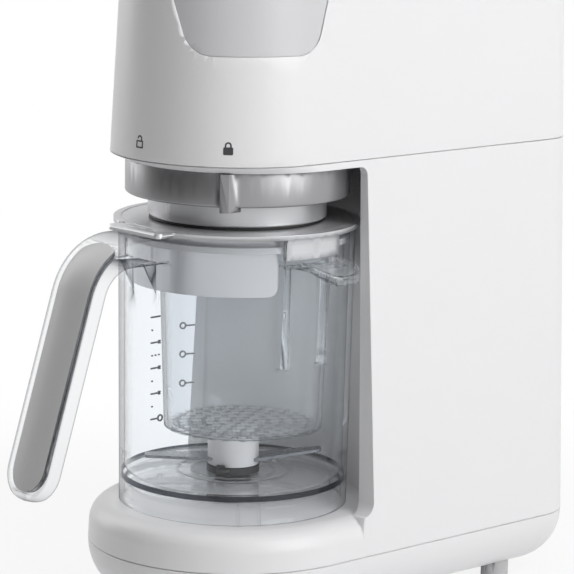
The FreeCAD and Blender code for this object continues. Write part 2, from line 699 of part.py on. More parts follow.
def panel_region(grow):
    """Return the space that the fascia fills: a flared U seen from its azimuth, with a round end on top."""
    half_low = PANEL_HALF_WIDTH + grow
    low = PANEL_LOW - grow
    flare = math.tan(math.radians(PANEL_FLARE))
    high = TOP + TOP_ROUND
    half_high = half_low + (high - low) * flare
    solid = plate([
        vec(-half_low, 0, low), vec(half_low, 0, low), vec(half_high, 0, high), vec(-half_high, 0, high),
    ], vec(0, -FAR, 0))
    lower = []
    for edge in solid.Edges:
        if abs(edge.Length - FAR) < SAME and all(abs(vertex.Z - low) < SAME for vertex in edge.Vertexes):
            lower.append(edge)
    solid = solid.makeFillet(PANEL_CORNER + grow, lower)
    end = cyl(half_low + (TOP - low) * flare, TOP - TOP_ROUND / 2, high)
    region = turned(solid.fuse(end), PANEL_AZIMUTH)
    region.translate(vec(0, nose_centre(TOP), 0))
    return region


def tank_lid_front():
    """Return the front edge of the tank's lid."""
    return TANK_FRONT + TANK_WALL


def tank_lid_rear():
    """Return the rear edge of the tank's lid."""
    return TANK_FRONT + TANK_LENGTH - TANK_WALL


def pin_place():
    """Return the place and height of the tank lid's hinge pin."""
    return tank_lid_rear() - TANK_LID_THICK / 2, TOP - TANK_LID_THICK / 2


def head_cover():
    """Return the head's cover: one drafted shell over jug and tower, with a well for the tank's lid."""
    shell = head_block(HEAD_SEAM).cut(head_block(HEAD_SEAM - OVERCUT, WALL))
    skin = head_block(HEAD_SEAM).cut(head_block(HEAD_SEAM - OVERCUT, PANEL_SINK + PANEL_THICK))
    backing = head_block(HEAD_SEAM, PANEL_SINK).cut(head_block(HEAD_SEAM - OVERCUT, WALL + PANEL_THICK))
    shell = shell.fuse(backing.common(panel_region(PANEL_CORNER / 2)))
    pin_y, pin_z = pin_place()
    front = tank_lid_front()
    rear = tank_lid_rear()
    side = TANK_LID_HALF_WIDTH
    well_side = side + WELL_WALL
    well = block(-well_side, well_side, front - WELL_WALL, rear + WELL_WALL, WELL_LOW, TOP - WALL / 2)
    inside = head_block(HEAD_SEAM, WALL / 2)
    posts = [cyl(BOARD_POST_RADIUS, BOARD_TOP, TOP, x, y).common(inside) for x, y in board_post_places()]
    cover = fused([shell, well] + posts)
    cover = cover.cut(skin.common(panel_region(PANEL_GAP)))
    gap = TANK_LID_GAP
    lid_low = TOP - TANK_LID_THICK - gap
    cover = cover.cut(block(-side - gap, side + gap, front - gap, rear + gap, lid_low, TOP + OVERCUT))
    ledge = TANK_LID_LEDGE
    cover = cover.cut(block(-side + ledge, side - ledge, front + ledge, rear - 2 * ledge, WELL_LOW, TOP))
    cover = cover.cut(cyl(SCOOP_RADIUS, lid_low, TOP + OVERCUT, 0, front))
    pin_half = side + gap + WELL_WALL / 2
    cover = cover.cut(Part.makeCylinder(PIN_RADIUS, 2 * pin_half, vec(-pin_half, pin_y, pin_z), vec(1, 0, 0)))
    dial_y = nose_centre(TOP)
    cover = cover.cut(cyl(DIAL_SHAFT_RADIUS + BUTTON_GAP, BOARD_TOP, TOP + OVERCUT, 0, dial_y))
    for x, y in button_places():
        cover = cover.cut(cyl(BUTTON_RADIUS + BUTTON_GAP, BOARD_TOP, TOP + OVERCUT, x, y))
    groove = body_block(HEAD_SEAM, HEAD_SEAM + SEAM_OPEN)
    core = body_block(HEAD_SEAM, HEAD_SEAM + SEAM_OPEN, SEAM_GROOVE)
    return cover.cut(groove.cut(core))


def control_fascia():
    """Return the grey fascia: a thin skin that follows the nose, bends over the top edge and ends round."""
    skin = head_block(HEAD_SEAM, PANEL_SINK).cut(head_block(HEAD_SEAM - OVERCUT, PANEL_SINK + PANEL_THICK))
    fascia = skin.common(panel_region(0.0))
    fascia = fascia.cut(cyl(DIAL_SHAFT_RADIUS + BUTTON_GAP, BOARD_TOP, TOP, 0, nose_centre(TOP)))
    for x, y in button_places():
        fascia = fascia.cut(cyl(BUTTON_RADIUS + BUTTON_GAP, BOARD_TOP, TOP, x, y))
    return fascia


def rubber_feet():
    """Return the four feet, each cut to the pan that it is glued to."""
    pan = pan_block()
    feet = []
    for x, y in foot_places():
        foot = cyl(FOOT_RADIUS, 0, BASE_SEAM - PAN_DEPTH / 4, x, y)
        foot = foot.makeChamfer(FOOT_CHAMFER, level_edges(foot, 0))
        feet.append(foot.cut(pan))
    return Part.makeCompound(feet)


def base_screws():
    """Return the four screws that hold the pan to the main body."""
    screws = []
    head_top = BASE_SEAM - PAN_DEPTH / 2
    for x, y in screw_places():
        shank = cyl(SCREW_RADIUS, head_top, BASE_SEAM + SCREW_BITE, x, y)
        head = cyl(SCREW_HEAD_RADIUS, head_top - SCREW_HEAD_HEIGHT, head_top, x, y)
        slot = block(x - SCREW_HEAD_RADIUS, x + SCREW_HEAD_RADIUS, y - SCREW_SLOT / 2, y + SCREW_SLOT / 2,
                     head_top - SCREW_HEAD_HEIGHT, head_top - SCREW_HEAD_HEIGHT / 2)
        screws.append(head.cut(slot).fuse(shank).removeSplitter())
    return Part.makeCompound(screws)


def pulley(radius, bore, x, y):
    """Return a flanged belt pulley."""
    body = cyl(radius, PULLEY_LOW, PULLEY_HIGH, x, y)
    low = cyl(radius + PULLEY_FLANGE, PULLEY_LOW, PULLEY_LOW + PULLEY_FLANGE_THICK, x, y)
    high = cyl(radius + PULLEY_FLANGE, PULLEY_HIGH - PULLEY_FLANGE_THICK, PULLEY_HIGH, x, y)
    return fused([body, low, high]).cut(cyl(bore, PULLEY_LOW, PULLEY_HIGH, x, y))


def driven_pulley():
    """Return the large pulley under the deck, with lightening holes in its web."""
    wheel = pulley(DRIVEN_PULLEY_RADIUS, SPINDLE_RADIUS, 0, 0)
    middle = (DRIVEN_PULLEY_RADIUS + SPINDLE_RADIUS) / 2
    hole = cyl((DRIVEN_PULLEY_RADIUS - SPINDLE_RADIUS) / 4, PULLEY_LOW, PULLEY_HIGH, middle, 0)
    for i in range(PULLEY_HOLES):
        wheel = wheel.cut(turned(hole, i * 360 / PULLEY_HOLES))
    return wheel


def belt_loop(grow):
    """Return the filled outline of the belt about both pulleys, as a plate of the belt's width."""
    r1 = DRIVEN_PULLEY_RADIUS + grow
    r2 = MOTOR_PULLEY_RADIUS + grow
    rise = (r1 - r2) / MOTOR_Y
    across = math.sqrt(1 - rise * rise)
    a1 = vec(r1 * across, r1 * rise, BELT_LOW)
    a2 = vec(r2 * across, MOTOR_Y + r2 * rise, BELT_LOW)
    b1 = vec(-a1.x, a1.y, BELT_LOW)
    b2 = vec(-a2.x, a2.y, BELT_LOW)
    far = vec(0, MOTOR_Y + r2, BELT_LOW)
    near = vec(0, -r1, BELT_LOW)
    wire = Part.Wire([line(a1, a2), arc(a2, far, b2), line(b2, b1), arc(b1, near, a1)])
    return Part.Face(wire).extrude(vec(0, 0, BELT_WIDTH))


def drive_belt():
    """Return the flat belt between the motor's pulley and the driven pulley."""
    return belt_loop(BELT_ROOM + BELT_THICK).cut(belt_loop(BELT_ROOM))


def drive_spindle():
    """Return the upright spindle under the jug."""
    return cyl(SPINDLE_RADIUS, PAN_FLOOR + RUN_GAP, DOG_LOW + DOG_HEIGHT - DOG_SLOT_DEPTH)


def drive_dog():
    """Return the slotted coupling on the spindle, whose slot lets the jug leave forwards."""
    dog = cyl(DOG_RADIUS, DOG_LOW, DOG_TOP)
    dog = dog.makeChamfer(DOG_SLOT_ROOM, level_edges(dog, DOG_TOP))
    half = TANG_WIDTH / 2 + DOG_SLOT_ROOM
    dog = dog.cut(block(-half, half, -DOG_RADIUS, DOG_RADIUS, DOG_TOP - DOG_SLOT_DEPTH, DOG_TOP))
    return dog.cut(cyl(SPINDLE_RADIUS, DOG_LOW, DOG_TOP - DOG_SLOT_DEPTH))


def spindle_bush():
    """Return the plain bearing in the deck."""
    return ring(SPINDLE_BUSH_RADIUS, SPINDLE_RADIUS + SHAFT_FIT, SPINDLE_BOSS_LOW, DECK)


def pan_bush():
    """Return the plain bearing in the pan."""
    return ring(PAN_BUSH_RADIUS, SPINDLE_RADIUS + SHAFT_FIT, PAN_FLOOR, PAN_FLOOR + PAN_BOSS_HEIGHT)


def motor_bracket():
    """Return the plate that carries the motor on the pan's posts."""
    bracket = block(-BRACKET_HALF_X, BRACKET_HALF_X, MOTOR_Y - BRACKET_HALF_Y, MOTOR_Y + BRACKET_HALF_Y,
                    BRACKET_LOW, BRACKET_TOP)
    bracket = bracket.makeFillet(POST_RADIUS, edges_of_length(bracket, BRACKET_THICK))
    return bracket.cut(cyl(MOTOR_PULLEY_RADIUS, BRACKET_LOW, BRACKET_TOP, 0, MOTOR_Y))


def motor():
    """Return the motor's can with its end bell and vent slots."""
    high = BRACKET_TOP + MOTOR_LENGTH
    can = cyl(MOTOR_RADIUS, BRACKET_TOP, high - MOTOR_END_BELL, 0, MOTOR_Y)
    bell = cone(MOTOR_RADIUS, MOTOR_RADIUS / 2, high - MOTOR_END_BELL, high, 0, MOTOR_Y)
    body = can.fuse(bell).removeSplitter()
    slot_high = high - MOTOR_SLOT_DROP
    slot_half = MOTOR_SLOT_WIDTH / 2
    slot = block(MOTOR_RADIUS - MOTOR_SLOT_DEPTH, MOTOR_RADIUS + OVERCUT, -slot_half, slot_half,
                 slot_high - MOTOR_SLOT_LENGTH, slot_high)
    for i in range(MOTOR_SLOTS):
        cut = turned(slot, i * 360 / MOTOR_SLOTS)
        cut.translate(vec(0, MOTOR_Y, 0))
        body = body.cut(cut)
    bore_high = BRACKET_TOP + MOTOR_LENGTH / 2
    return body.cut(cyl(MOTOR_SHAFT_RADIUS + SHAFT_FIT, BRACKET_TOP, bore_high, 0, MOTOR_Y))


def motor_shaft():
    """Return the motor's shaft."""
    return cyl(MOTOR_SHAFT_RADIUS, PULLEY_LOW, BRACKET_TOP + MOTOR_LENGTH / 2 - RUN_GAP, 0, MOTOR_Y)


def motor_pulley():
    """Return the small pulley on the motor's shaft."""
    return pulley(MOTOR_PULLEY_RADIUS, MOTOR_SHAFT_RADIUS, 0, MOTOR_Y)


def jug_radius(z):
    """Return the jug's outer radius at a height."""
    share = (z - SEAT) / JUG_HEIGHT
    return JUG_RADIUS_LOW + share * (JUG_RADIUS_TOP - JUG_RADIUS_LOW)


def jug_cone(low, high, inset=0.0):
    """Return the jug's tapered form between two heights, drawn in by an inset."""
    return cone(jug_radius(low) - inset, jug_radius(high) - inset, low, high)


def bend_point(x, depth, turn):
    """Return a point of the handle's bend, at a depth under the outer face and a turn from level."""
    r = HANDLE_BEND - depth
    return vec(x, BEND_Y - r * math.sin(turn), BEND_Z + r * math.cos(turn))


def leg_point(x, depth, along):
    """Return a point of the handle's leg, at a depth under the outer face and a way down the leg."""
    y = LEG_Y + depth * math.cos(LEAN) - along * math.sin(LEAN)
    return vec(x, y, LEG_Z - depth * math.sin(LEAN) - along * math.cos(LEAN))


def outer_edges(x, depth, start_y):
    """Return the three edges of a line along the handle at one depth under its outer face."""
    turn = math.pi / 2 - LEAN
    first = bend_point(x, depth, 0)
    last = bend_point(x, depth, turn)
    return [
        line(vec(x, start_y, HANDLE_TOP - depth), first),
        arc(first, bend_point(x, depth, turn / 2), last),
        line(last, leg_point(x, depth, HANDLE_LEG)),
    ]


def rounded_off(centre, turn, radius, upper):
    """Return what rounds a strip's end off about a centre, where it has turned down by some degrees."""
    angle = math.radians(turn)
    out = vec(0, -math.sin(angle), math.cos(angle))
    deep = 2 * HANDLE_THICK
    post = Part.makeCylinder(radius, 2 * deep, centre - out * deep, out)
    length = HANDLE_LEG
    slab = block(-HANDLE_WIDTH, HANDLE_WIDTH, -deep, deep, 0 if upper else -length, length if upper else 0)
    slab.rotate(vec(0, 0, 0), vec(1, 0, 0), turn - 90)
    slab.translate(centre)
    return slab.cut(post)


def lower_end(radius, end):
    """Return what rounds a strip's lower end off, seen square to the leg."""
    return rounded_off(leg_point(0, 0, end - radius), 90 - HANDLE_LEAN, radius, False)


def insert_form(gap, crown):
    """Return the grip insert with its crowned face, or with a gap and no crown the pocket for it."""
    half = HANDLE_WIDTH / 2 - INSERT_MARGIN + gap
    start_y = -JUG_RADIUS_TOP
    floor = HANDLE_TOP - INSERT_DEPTH - gap
    left = vec(-half, start_y, HANDLE_TOP - crown)
    right = vec(half, start_y, HANDLE_TOP - crown)
    outer = line(left, right)
    if crown > 0:
        outer = arc(left, vec(0, start_y, HANDLE_TOP), right)
    low_left = vec(-half, start_y, floor)
    low_right = vec(half, start_y, floor)
    section = Part.Wire([outer, line(right, low_right), line(low_right, low_left), line(low_left, left)])
    path = Part.Wire(outer_edges(0, 0, start_y))
    strip = path.makePipeShell([section], True, False)
    turn = math.radians(INSERT_START)
    along = vec(0, -math.cos(turn), -math.sin(turn))
    centre = bend_point(0, 0, turn) + along * INSERT_END_ROUND
    strip = strip.cut(rounded_off(centre, INSERT_START, INSERT_END_ROUND + gap, True))
    return strip.cut(lower_end(half, HANDLE_LEG + gap))


def handle_insert():
    """Return the opaque grip insert in the handle's outer face."""
    return insert_form(0.0, INSERT_CROWN)


def handle_strap(root_y):
    """Return the strap from its thick root round the bend to its rounded lower end, with square edges."""
    x = -HANDLE_WIDTH / 2
    thick = HANDLE_THICK
    turn = math.pi / 2 - LEAN
    reach = HANDLE_INNER_BEND * math.tan(turn / 2)
    down = (LEG_Z - thick * math.sin(LEAN) - HANDLE_UNDER) / math.cos(LEAN)
    inner_leg = leg_point(x, thick, down + reach)
    inner_root = vec(x, leg_point(x, thick, down).y + reach, HANDLE_UNDER)
    inner_middle = inner_root + vec(0, -HANDLE_INNER_BEND * math.sin(turn / 2),
                                    HANDLE_INNER_BEND * (math.cos(turn / 2) - 1))
    outer_end = leg_point(x, 0, HANDLE_LEG)
    inner_end = leg_point(x, thick, HANDLE_LEG)
    edges = outer_edges(x, 0, root_y)
    edges += [
        arc(outer_end, leg_point(x, thick / 2, HANDLE_LEG + thick / 2), inner_end),
        line(inner_end, inner_leg),
        arc(inner_leg, inner_middle, inner_root),
        line(inner_root, vec(x, root_y, HANDLE_UNDER)),
        line(vec(x, root_y, HANDLE_UNDER), vec(x, root_y, HANDLE_TOP)),
    ]
    strap = Part.Face(Part.Wire(edges)).extrude(vec(HANDLE_WIDTH, 0, 0))
    return strap.cut(lower_end(HANDLE_WIDTH / 2, HANDLE_LEG + thick / 2 - HANDLE_END_FLAT))


def handle():
    """Return the jug's strap handle, fixed at its root and free at its lower end, with two gussets."""
    side = HANDLE_WIDTH / 2
    root_y = JUG_WALL - JUG_RADIUS_TOP
    strap = handle_strap(root_y)
    long_edges = []
    for edge in strap.Edges:
        first = edge.Vertexes[0]
        last = edge.Vertexes[-1]
        at_root = abs(first.Y - root_y) + abs(last.Y - root_y) < SAME
        on_side = abs(abs(first.X) - side) < SAME and abs(first.X - last.X) < SAME
        if on_side and not at_root:
            long_edges.append(edge)
    strap = strap.makeFillet(HANDLE_EDGE_ROUND, long_edges)
    gussets = []
    wall_y = -jug_radius(HANDLE_UNDER) + JUG_WALL / 2
    for middle in (-GUSSET_X, GUSSET_X):
        x = middle - GUSSET_THICK / 2
        gussets.append(plate([
            vec(x, wall_y, HANDLE_UNDER), vec(x, wall_y - JUG_WALL - GUSSET_DEPTH, HANDLE_UNDER),
            vec(x, wall_y, HANDLE_UNDER - GUSSET_HEIGHT),
        ], vec(GUSSET_THICK, 0, 0)))
    return fused([strap] + gussets)


def jug():
    """Return the clear jug: tapered wall, raised floor on a foot ring, notch, handle and key ribs."""
    outer = jug_cone(SEAT, RIM)
    bead = cone(jug_radius(RIM - RIM_BEAD_HEIGHT), jug_radius(RIM) + RIM_BEAD, RIM - RIM_BEAD_HEIGHT, RIM)
    body = fused([outer, bead, handle()])
    inside = jug_cone(JUG_FLOOR, RIM + JUG_WALL, JUG_WALL)
    inside = inside.makeFillet(JUG_FLOOR_FILLET, level_edges(inside, JUG_FLOOR))
    body = body.cut(inside).cut(jug_cone(SEAT, JUG_FLOOR - JUG_FLOOR_THICK, JUG_WALL))
    for radius in FLOOR_RINGS:
        body = body.fuse(ring(radius + FLOOR_RING_WIDTH, radius, JUG_FLOOR, JUG_FLOOR + FLOOR_RING_HEIGHT))
    swing = math.degrees(KEY_RIB_SPAN / 2 / JUG_RADIUS_LOW)
    rib = block(-KEY_RIB_WIDTH / 2, KEY_RIB_WIDTH / 2, -JUG_RADIUS_LOW - KEY_RIB_PROUD,
                JUG_WALL / 2 - JUG_RADIUS_LOW, SEAT, JUG_FLOOR - JUG_FLOOR_THICK)
    for azimuth in (KEY_RIB_AZIMUTH - swing, KEY_RIB_AZIMUTH + swing):
        body = body.fuse(turned(rib, azimuth))
    body = body.cut(block(0, FAR, -NOTCH_HALF_WIDTH, NOTCH_HALF_WIDTH, NOTCH_LOW, FAR))
    gate = DOG_RADIUS + BAY_GAP
    body = body.cut(block(-gate, gate, 0, FAR, SEAT - OVERCUT, DOG_TOP + TANG_GAP))
    body = body.cut(cyl(JUG_BUSH_RADIUS, SEAT, JUG_FLOOR))
    return body.cut(insert_form(INSERT_GAP, 0.0)).removeSplitter()


def jug_lid():
    """Return the lid: disc, front tab, deep skirt with a window, notch shutter and basket socket."""
    disc = cyl(LID_RADIUS, RIM, LID_TOP)
    half = LID_TAB_WIDTH / 2
    tab = block(-half, half, -LID_RADIUS - LID_TAB_REACH, 0, RIM, LID_TOP)
    corners = [edge for edge in edges_of_length(tab, LID_THICK) if edge.Vertexes[0].Y < -LID_RADIUS]
    tab = tab.makeFillet(LID_TAB_REACH / 2, corners)
    skirt_low = RIM - LID_SKIRT_DEPTH
    window = NOTCH_HALF_WIDTH
    skirt = ring(LID_SKIRT_RADIUS, LID_SKIRT_RADIUS - LID_WALL, skirt_low, RIM)
    skirt = skirt.cut(block(0, FAR, -window, window, skirt_low, RIM))
    for side in (-1, 1):
        y = side * (window + LID_SKIRT_CORNER)
        z = skirt_low + LID_SKIRT_CORNER
        corner = block(0, FAR, min(y, side * window), max(y, side * window), skirt_low, z)
        skirt = skirt.cut(corner.cut(Part.makeCylinder(LID_SKIRT_CORNER, FAR, vec(0, y, z), vec(1, 0, 0))))
    shutter_low = NOTCH_LOW + TAB_THICK + SHUTTER_GAP
    shutter = jug_cone(shutter_low, RIM, SHUTTER_GAP).cut(jug_cone(shutter_low, RIM, JUG_WALL))
    side = NOTCH_HALF_WIDTH - SHUTTER_GAP
    shutter = shutter.common(block(0, FAR, -side, side, 0, FAR))
    socket = ring(SOCKET_BORE + SOCKET_WALL, SOCKET_BORE, RIM - SOCKET_DEPTH, RIM, BASKET_OFFSET)
    lid = fused([disc, tab, skirt, shutter, socket])
    lid = lid.cut(cyl(STEAM_HOLE_RADIUS, RIM, LID_TOP))
    groove = LID_RADIUS - LID_GROOVE_INSET
    lid = lid.cut(ring(groove + LID_GROOVE_WIDTH, groove, LID_TOP - LID_GROOVE_DEPTH, LID_TOP))
    edge_y = -math.sqrt(LID_RADIUS ** 2 - half ** 2)
    lid = lid.cut(cyl(LID_TAB_NOTCH, RIM, LID_TOP, -half, edge_y))
    for i in (-1, 0, 1):
        x = i * DASH_PITCH
        y = -LID_RADIUS
        dash = block(x - DASH_LENGTH / 2, x + DASH_LENGTH / 2, y - DASH_WIDTH / 2, y + DASH_WIDTH / 2,
                     LID_TOP - DASH_DEPTH, LID_TOP)
        lid = lid.cut(dash)
    return lid.removeSplitter()


def lid_gasket():
    """Return the soft ring between the lid's skirt and the jug's wall."""
    high = RIM - LID_GASKET_DROP
    low = high - LID_GASKET_HEIGHT
    outer = jug_cone(low, high, JUG_WALL + LID_GASKET_FIT)
    gasket = outer.cut(cyl(LID_SKIRT_RADIUS, low, high))
    window = NOTCH_HALF_WIDTH
    return gasket.cut(block(0, FAR, -window, window, low, high))


def basket_cone(low, high, inset=0.0):
    """Return the basket's tapered form between two heights, drawn in by an inset."""
    bottom = PLATE_TOP - BASKET_WALL
    straight = RIM - SOCKET_DEPTH

    def radius(z):
        share = (z - bottom) / (straight - bottom)
        return BASKET_RADIUS_LOW + share * (BASKET_RADIUS_TOP - BASKET_RADIUS_LOW) - inset

    lower = cone(radius(low), BASKET_RADIUS_TOP - inset, low, straight, BASKET_OFFSET)
    return lower.fuse(cyl(BASKET_RADIUS_TOP - inset, straight, high, BASKET_OFFSET)).removeSplitter()


def tab_strip(lower, upper, start_x, width):
    """Return a strip along the finger tab's drooping path between two offsets from its middle line."""
    turn = math.radians(TAB_TURN)
    y = -width / 2
    centre_z = TAB_MID - TAB_BEND

    def bend_point(offset, angle):
        r = TAB_BEND + offset
        return vec(TAB_BEND_X + r * math.sin(angle), y, centre_z + r * math.cos(angle))

    upper_start = vec(start_x, y, TAB_MID + upper)
    lower_start = vec(start_x, y, TAB_MID + lower)
    wire = Part.Wire([
        line(upper_start, bend_point(upper, 0)),
        arc(bend_point(upper, 0), bend_point(upper, turn / 2), bend_point(upper, turn)),
        line(bend_point(upper, turn), bend_point(lower, turn)),
        arc(bend_point(lower, turn), bend_point(lower, turn / 2), bend_point(lower, 0)),
        line(bend_point(lower, 0), lower_start),
        line(lower_start, upper_start),
    ])
    return Part.Face(wire).extrude(vec(0, width, 0))


def tab_plan(inset):
    """Return the tab's plan form: straight sides and a round end."""
    half = TAB_HALF_WIDTH - inset
    centre_x = TAB_REACH - TAB_HALF_WIDTH
    low = TAB_MID - TAB_BEND
    high = TAB_MID + TAB_BEND
    return cyl(half, low, high, centre_x).fuse(block(0, centre_x, -half, half, low, high)).removeSplitter()


def finger_tab():
    """Return the basket's drooping finger tab with its dished top."""
    half = TAB_THICK / 2
    start = BASKET_OFFSET + BASKET_RADIUS_TOP / 2
    tab = tab_strip(-half, half, start, 2 * TAB_HALF_WIDTH).common(tab_plan(0.0))
    dish = tab_strip(half - TAB_DISH, 2 * half, TAB_BEND_X - TAB_BORDER, 2 * TAB_HALF_WIDTH)
    dish = dish.common(tab_plan(TAB_BORDER))
    return tab.cut(dish)


def steam_basket():
    """Return the clear basket: tapered wall, perforated plate, two ribs and the finger tab."""
    bottom = PLATE_TOP - BASKET_WALL
    outer = basket_cone(bottom, RIM)
    rib_high = NOTCH_LOW
    rib_low = rib_high - BASKET_RIB_LENGTH
    parts = [outer, finger_tab()]
    for side in (-1, 1):
        y = side * BASKET_RIB_Y
        half = BASKET_RIB_THICK / 2
        parts.append(block(BASKET_OFFSET, BASKET_RIB_REACH, y - half, y + half, rib_low, rib_high))
    basket = fused(parts)
    basket = basket.cut(basket_cone(PLATE_TOP, RIM, BASKET_WALL))
    holes = [cyl(BASKET_HOLE_RADIUS, bottom, PLATE_TOP, BASKET_OFFSET)]
    widest = BASKET_RADIUS_LOW - BASKET_WALL - BASKET_HOLE_BORDER
    for i in range(BASKET_HOLE_RINGS):
        radius = widest * (i + 1) / BASKET_HOLE_RINGS
        count = int(2 * math.pi * radius / BASKET_HOLE_PITCH)
        for j in range(count):
            angle = 2 * math.pi * j / count
            x = BASKET_OFFSET + radius * math.cos(angle)
            holes.append(cyl(BASKET_HOLE_RADIUS, bottom, PLATE_TOP, x, radius * math.sin(angle)))
    return basket.cut(Part.makeCompound(holes))


def blade_wing(lift):
    """Return one tapered wing of the blade along +X, bent up at the hub's edge by some degrees."""
    tip = BLADE_RADIUS - HUB_RADIUS
    wing = plate([
        vec(0, -BLADE_ROOT_WIDTH / 2, 0), vec(tip, -BLADE_TIP_WIDTH / 2, 0),
        vec(tip, BLADE_TIP_WIDTH / 2, 0), vec(0, BLADE_ROOT_WIDTH / 2, 0),
    ], vec(0, 0, BLADE_THICK))
    upright = [edge for edge in edges_of_length(wing, BLADE_THICK) if abs(edge.Vertexes[0].X - tip) < SAME]
    wing = wing.makeFillet(BLADE_TIP_ROUND, upright)
    wing.rotate(vec(0, 0, 0), vec(0, 1, 0), -lift)
    wing.translate(vec(HUB_RADIUS - BLADE_THICK, 0, BLADE_LOW))
    return wing


def blade():
    """Return the steel blade: a bar through the hub with one flat and one raised wing."""
    half = BLADE_ROOT_WIDTH / 2
    bar = block(BLADE_THICK - HUB_RADIUS, HUB_RADIUS - BLADE_THICK, -half, half,
                BLADE_LOW, BLADE_LOW + BLADE_THICK)
    steel = fused([bar, blade_wing(BLADE_LIFT), turned(blade_wing(0.0), 180)])
    steel = steel.cut(cyl(SHAFT_RADIUS, BLADE_LOW, BLADE_LOW + BLADE_THICK))
    return turned(steel, BLADE_AZIMUTH - 90)


def blade_hub():
    """Return the domed hub that the blade goes through."""
    hub = cyl(HUB_RADIUS, HUB_LOW, HUB_LOW + HUB_HEIGHT)
    hub = hub.makeFillet(HUB_CROWN, level_edges(hub, HUB_LOW + HUB_HEIGHT))
    hub = hub.cut(cyl(SHAFT_RADIUS, HUB_LOW, HUB_LOW + HUB_HEIGHT / 2))
    return hub.cut(blade())


def blade_shaft():
    """Return the shaft of the blade unit with the flat tang that the drive dog turns."""
    low = TANG_TOP - TANG_HEIGHT
    shaft = cyl(SHAFT_RADIUS, low, HUB_LOW + HUB_HEIGHT / 2)
    tang = block(-TANG_WIDTH / 2, TANG_WIDTH / 2, -TANG_LENGTH / 2, TANG_LENGTH / 2, low, TANG_TOP)
    tang = tang.common(cyl(TANG_LENGTH / 2, low, TANG_TOP))
    return fused([shaft, tang])


def jug_bush():
    """Return the flanged bearing in the jug's floor."""
    under = JUG_FLOOR - JUG_FLOOR_THICK
    flange = cyl(JUG_BUSH_FLANGE, BUSH_FLANGE_LOW, under)
    sleeve = cyl(JUG_BUSH_RADIUS, BUSH_FLANGE_LOW, JUG_FLOOR)
    return fused([flange, sleeve]).cut(cyl(SHAFT_RADIUS + SHAFT_FIT, BUSH_FLANGE_LOW, JUG_FLOOR))


def hub_seal():
    """Return the dark seal under the hub, with its locating key."""
    high = JUG_FLOOR + HUB_SEAL_HEIGHT
    seal = cyl(HUB_SEAL_RADIUS, JUG_FLOOR, high)
    half = HUB_SEAL_KEY / 2
    key = block(-half, half, -HUB_SEAL_RADIUS - half, 0, JUG_FLOOR, high)
    seal = fused([seal, turned(key, HUB_SEAL_KEY_AZIMUTH)])
    return seal.cut(cyl(SHAFT_RADIUS + SHAFT_FIT, JUG_FLOOR, high))


def cam_slot():
    """Return the helical space that one peg runs through in the lock ring, as a ruled loft."""
    middle = RING_BORE
    half = PEG_RADIUS + PEG_ROOM
    spare = math.degrees(half / middle)
    wires = []
    for i in range(CAM_SECTIONS):
        angle = -spare + (LOCK_TURN + 2 * spare) * i / (CAM_SECTIONS - 1)
        z = PEG_HEIGHT + COLLAR_LIFT * angle / LOCK_TURN
        near = -COLLAR_RADIUS
        deep = -(RING_BORE + PEG_REACH + PEG_ROOM)
        corners = [
            vec(0, near, z - half), vec(0, deep, z - half), vec(0, deep, z + half), vec(0, near, z + half),
        ]
        wires.append(turned(Part.makePolygon(corners + corners[:1]), angle))
    return Part.makeLoft(wires, True, True)


def lock_ring():
    """Return the lock ring: a skirt below the head, a neck through its floor, cam slots and the lever."""
    skirt_top = LIP_LOW - RUN_GAP
    flange_low = HEAD_SEAM + RUN_GAP
    flange_top = flange_low + RING_FLANGE_THICK
    skirt = cyl(RING_RADIUS, RING_LOW, skirt_top)
    skirt = skirt.makeFillet(RING_EDGE_ROUND, level_edges(skirt, RING_LOW))
    neck = cyl(NECK_RADIUS, skirt_top, flange_top)
    flange = cyl(NECK_RADIUS + RING_FLANGE, flange_low, flange_top)
    root = RING_RADIUS - LEVER_PROUD
    tip = RING_RADIUS + LEVER_PROUD
    half = LEVER_WIDTH / 2
    low = RING_LOW - LEVER_DROP
    lever = plate([
        vec(-half, -root, low), vec(-half, -tip, low),
        vec(half, -tip, low), vec(half + LEVER_FLARE, -root, low),
    ], vec(0, 0, skirt_top - low))
    body = fused([skirt, neck, flange, turned(lever, LEVER_AZIMUTH)])
    body = body.cut(cyl(RING_BORE, low, flange_top))
    slot = cam_slot()
    for i in range(PEG_COUNT):
        body = body.cut(turned(slot, i * 360 / PEG_COUNT))
    return body


def nozzle_form(grow, low, high):
    """Return the keyed outside of the steam nozzle between two heights."""
    key = NOZZLE_KEY_WIDTH / 2 + grow
    tube = cyl(NOZZLE_RADIUS + grow, low, high)
    return fused([tube, block(-key, key, 0, NOZZLE_RADIUS + NOZZLE_KEY_PROUD + grow, low, high)])


def seal_collar():
    """Return the collar that comes down on the lid: a cup with a keyed hub and three pegs."""
    high = COLLAR_LOW + COLLAR_HEIGHT
    cup = cyl(COLLAR_RADIUS, COLLAR_LOW, high)
    cup = cup.makeFillet(COLLAR_ROUND, level_edges(cup, COLLAR_LOW))
    cup = cup.cut(cyl(COLLAR_RADIUS - COLLAR_WALL, COLLAR_LOW + COLLAR_FLOOR, high))
    hub = cyl(COLLAR_HUB_RADIUS, COLLAR_LOW, COLLAR_LOW + COLLAR_HUB_HEIGHT)
    reach = RING_ROOM + PEG_REACH + COLLAR_WALL
    peg = Part.makeCylinder(PEG_RADIUS, reach, vec(0, COLLAR_WALL - COLLAR_RADIUS, PEG_HEIGHT), vec(0, -1, 0))
    pegs = [turned(peg, i * 360 / PEG_COUNT) for i in range(PEG_COUNT)]
    collar = fused([cup, hub] + pegs)
    return collar.cut(nozzle_form(NOZZLE_FIT, COLLAR_LOW, high))


def collar_gasket():
    """Return the dark gasket under the collar."""
    outer = COLLAR_RADIUS - COLLAR_ROUND / 2
    low = COLLAR_LOW - GASKET_HEIGHT
    return ring(outer, outer - GASKET_WIDTH, low, COLLAR_LOW)


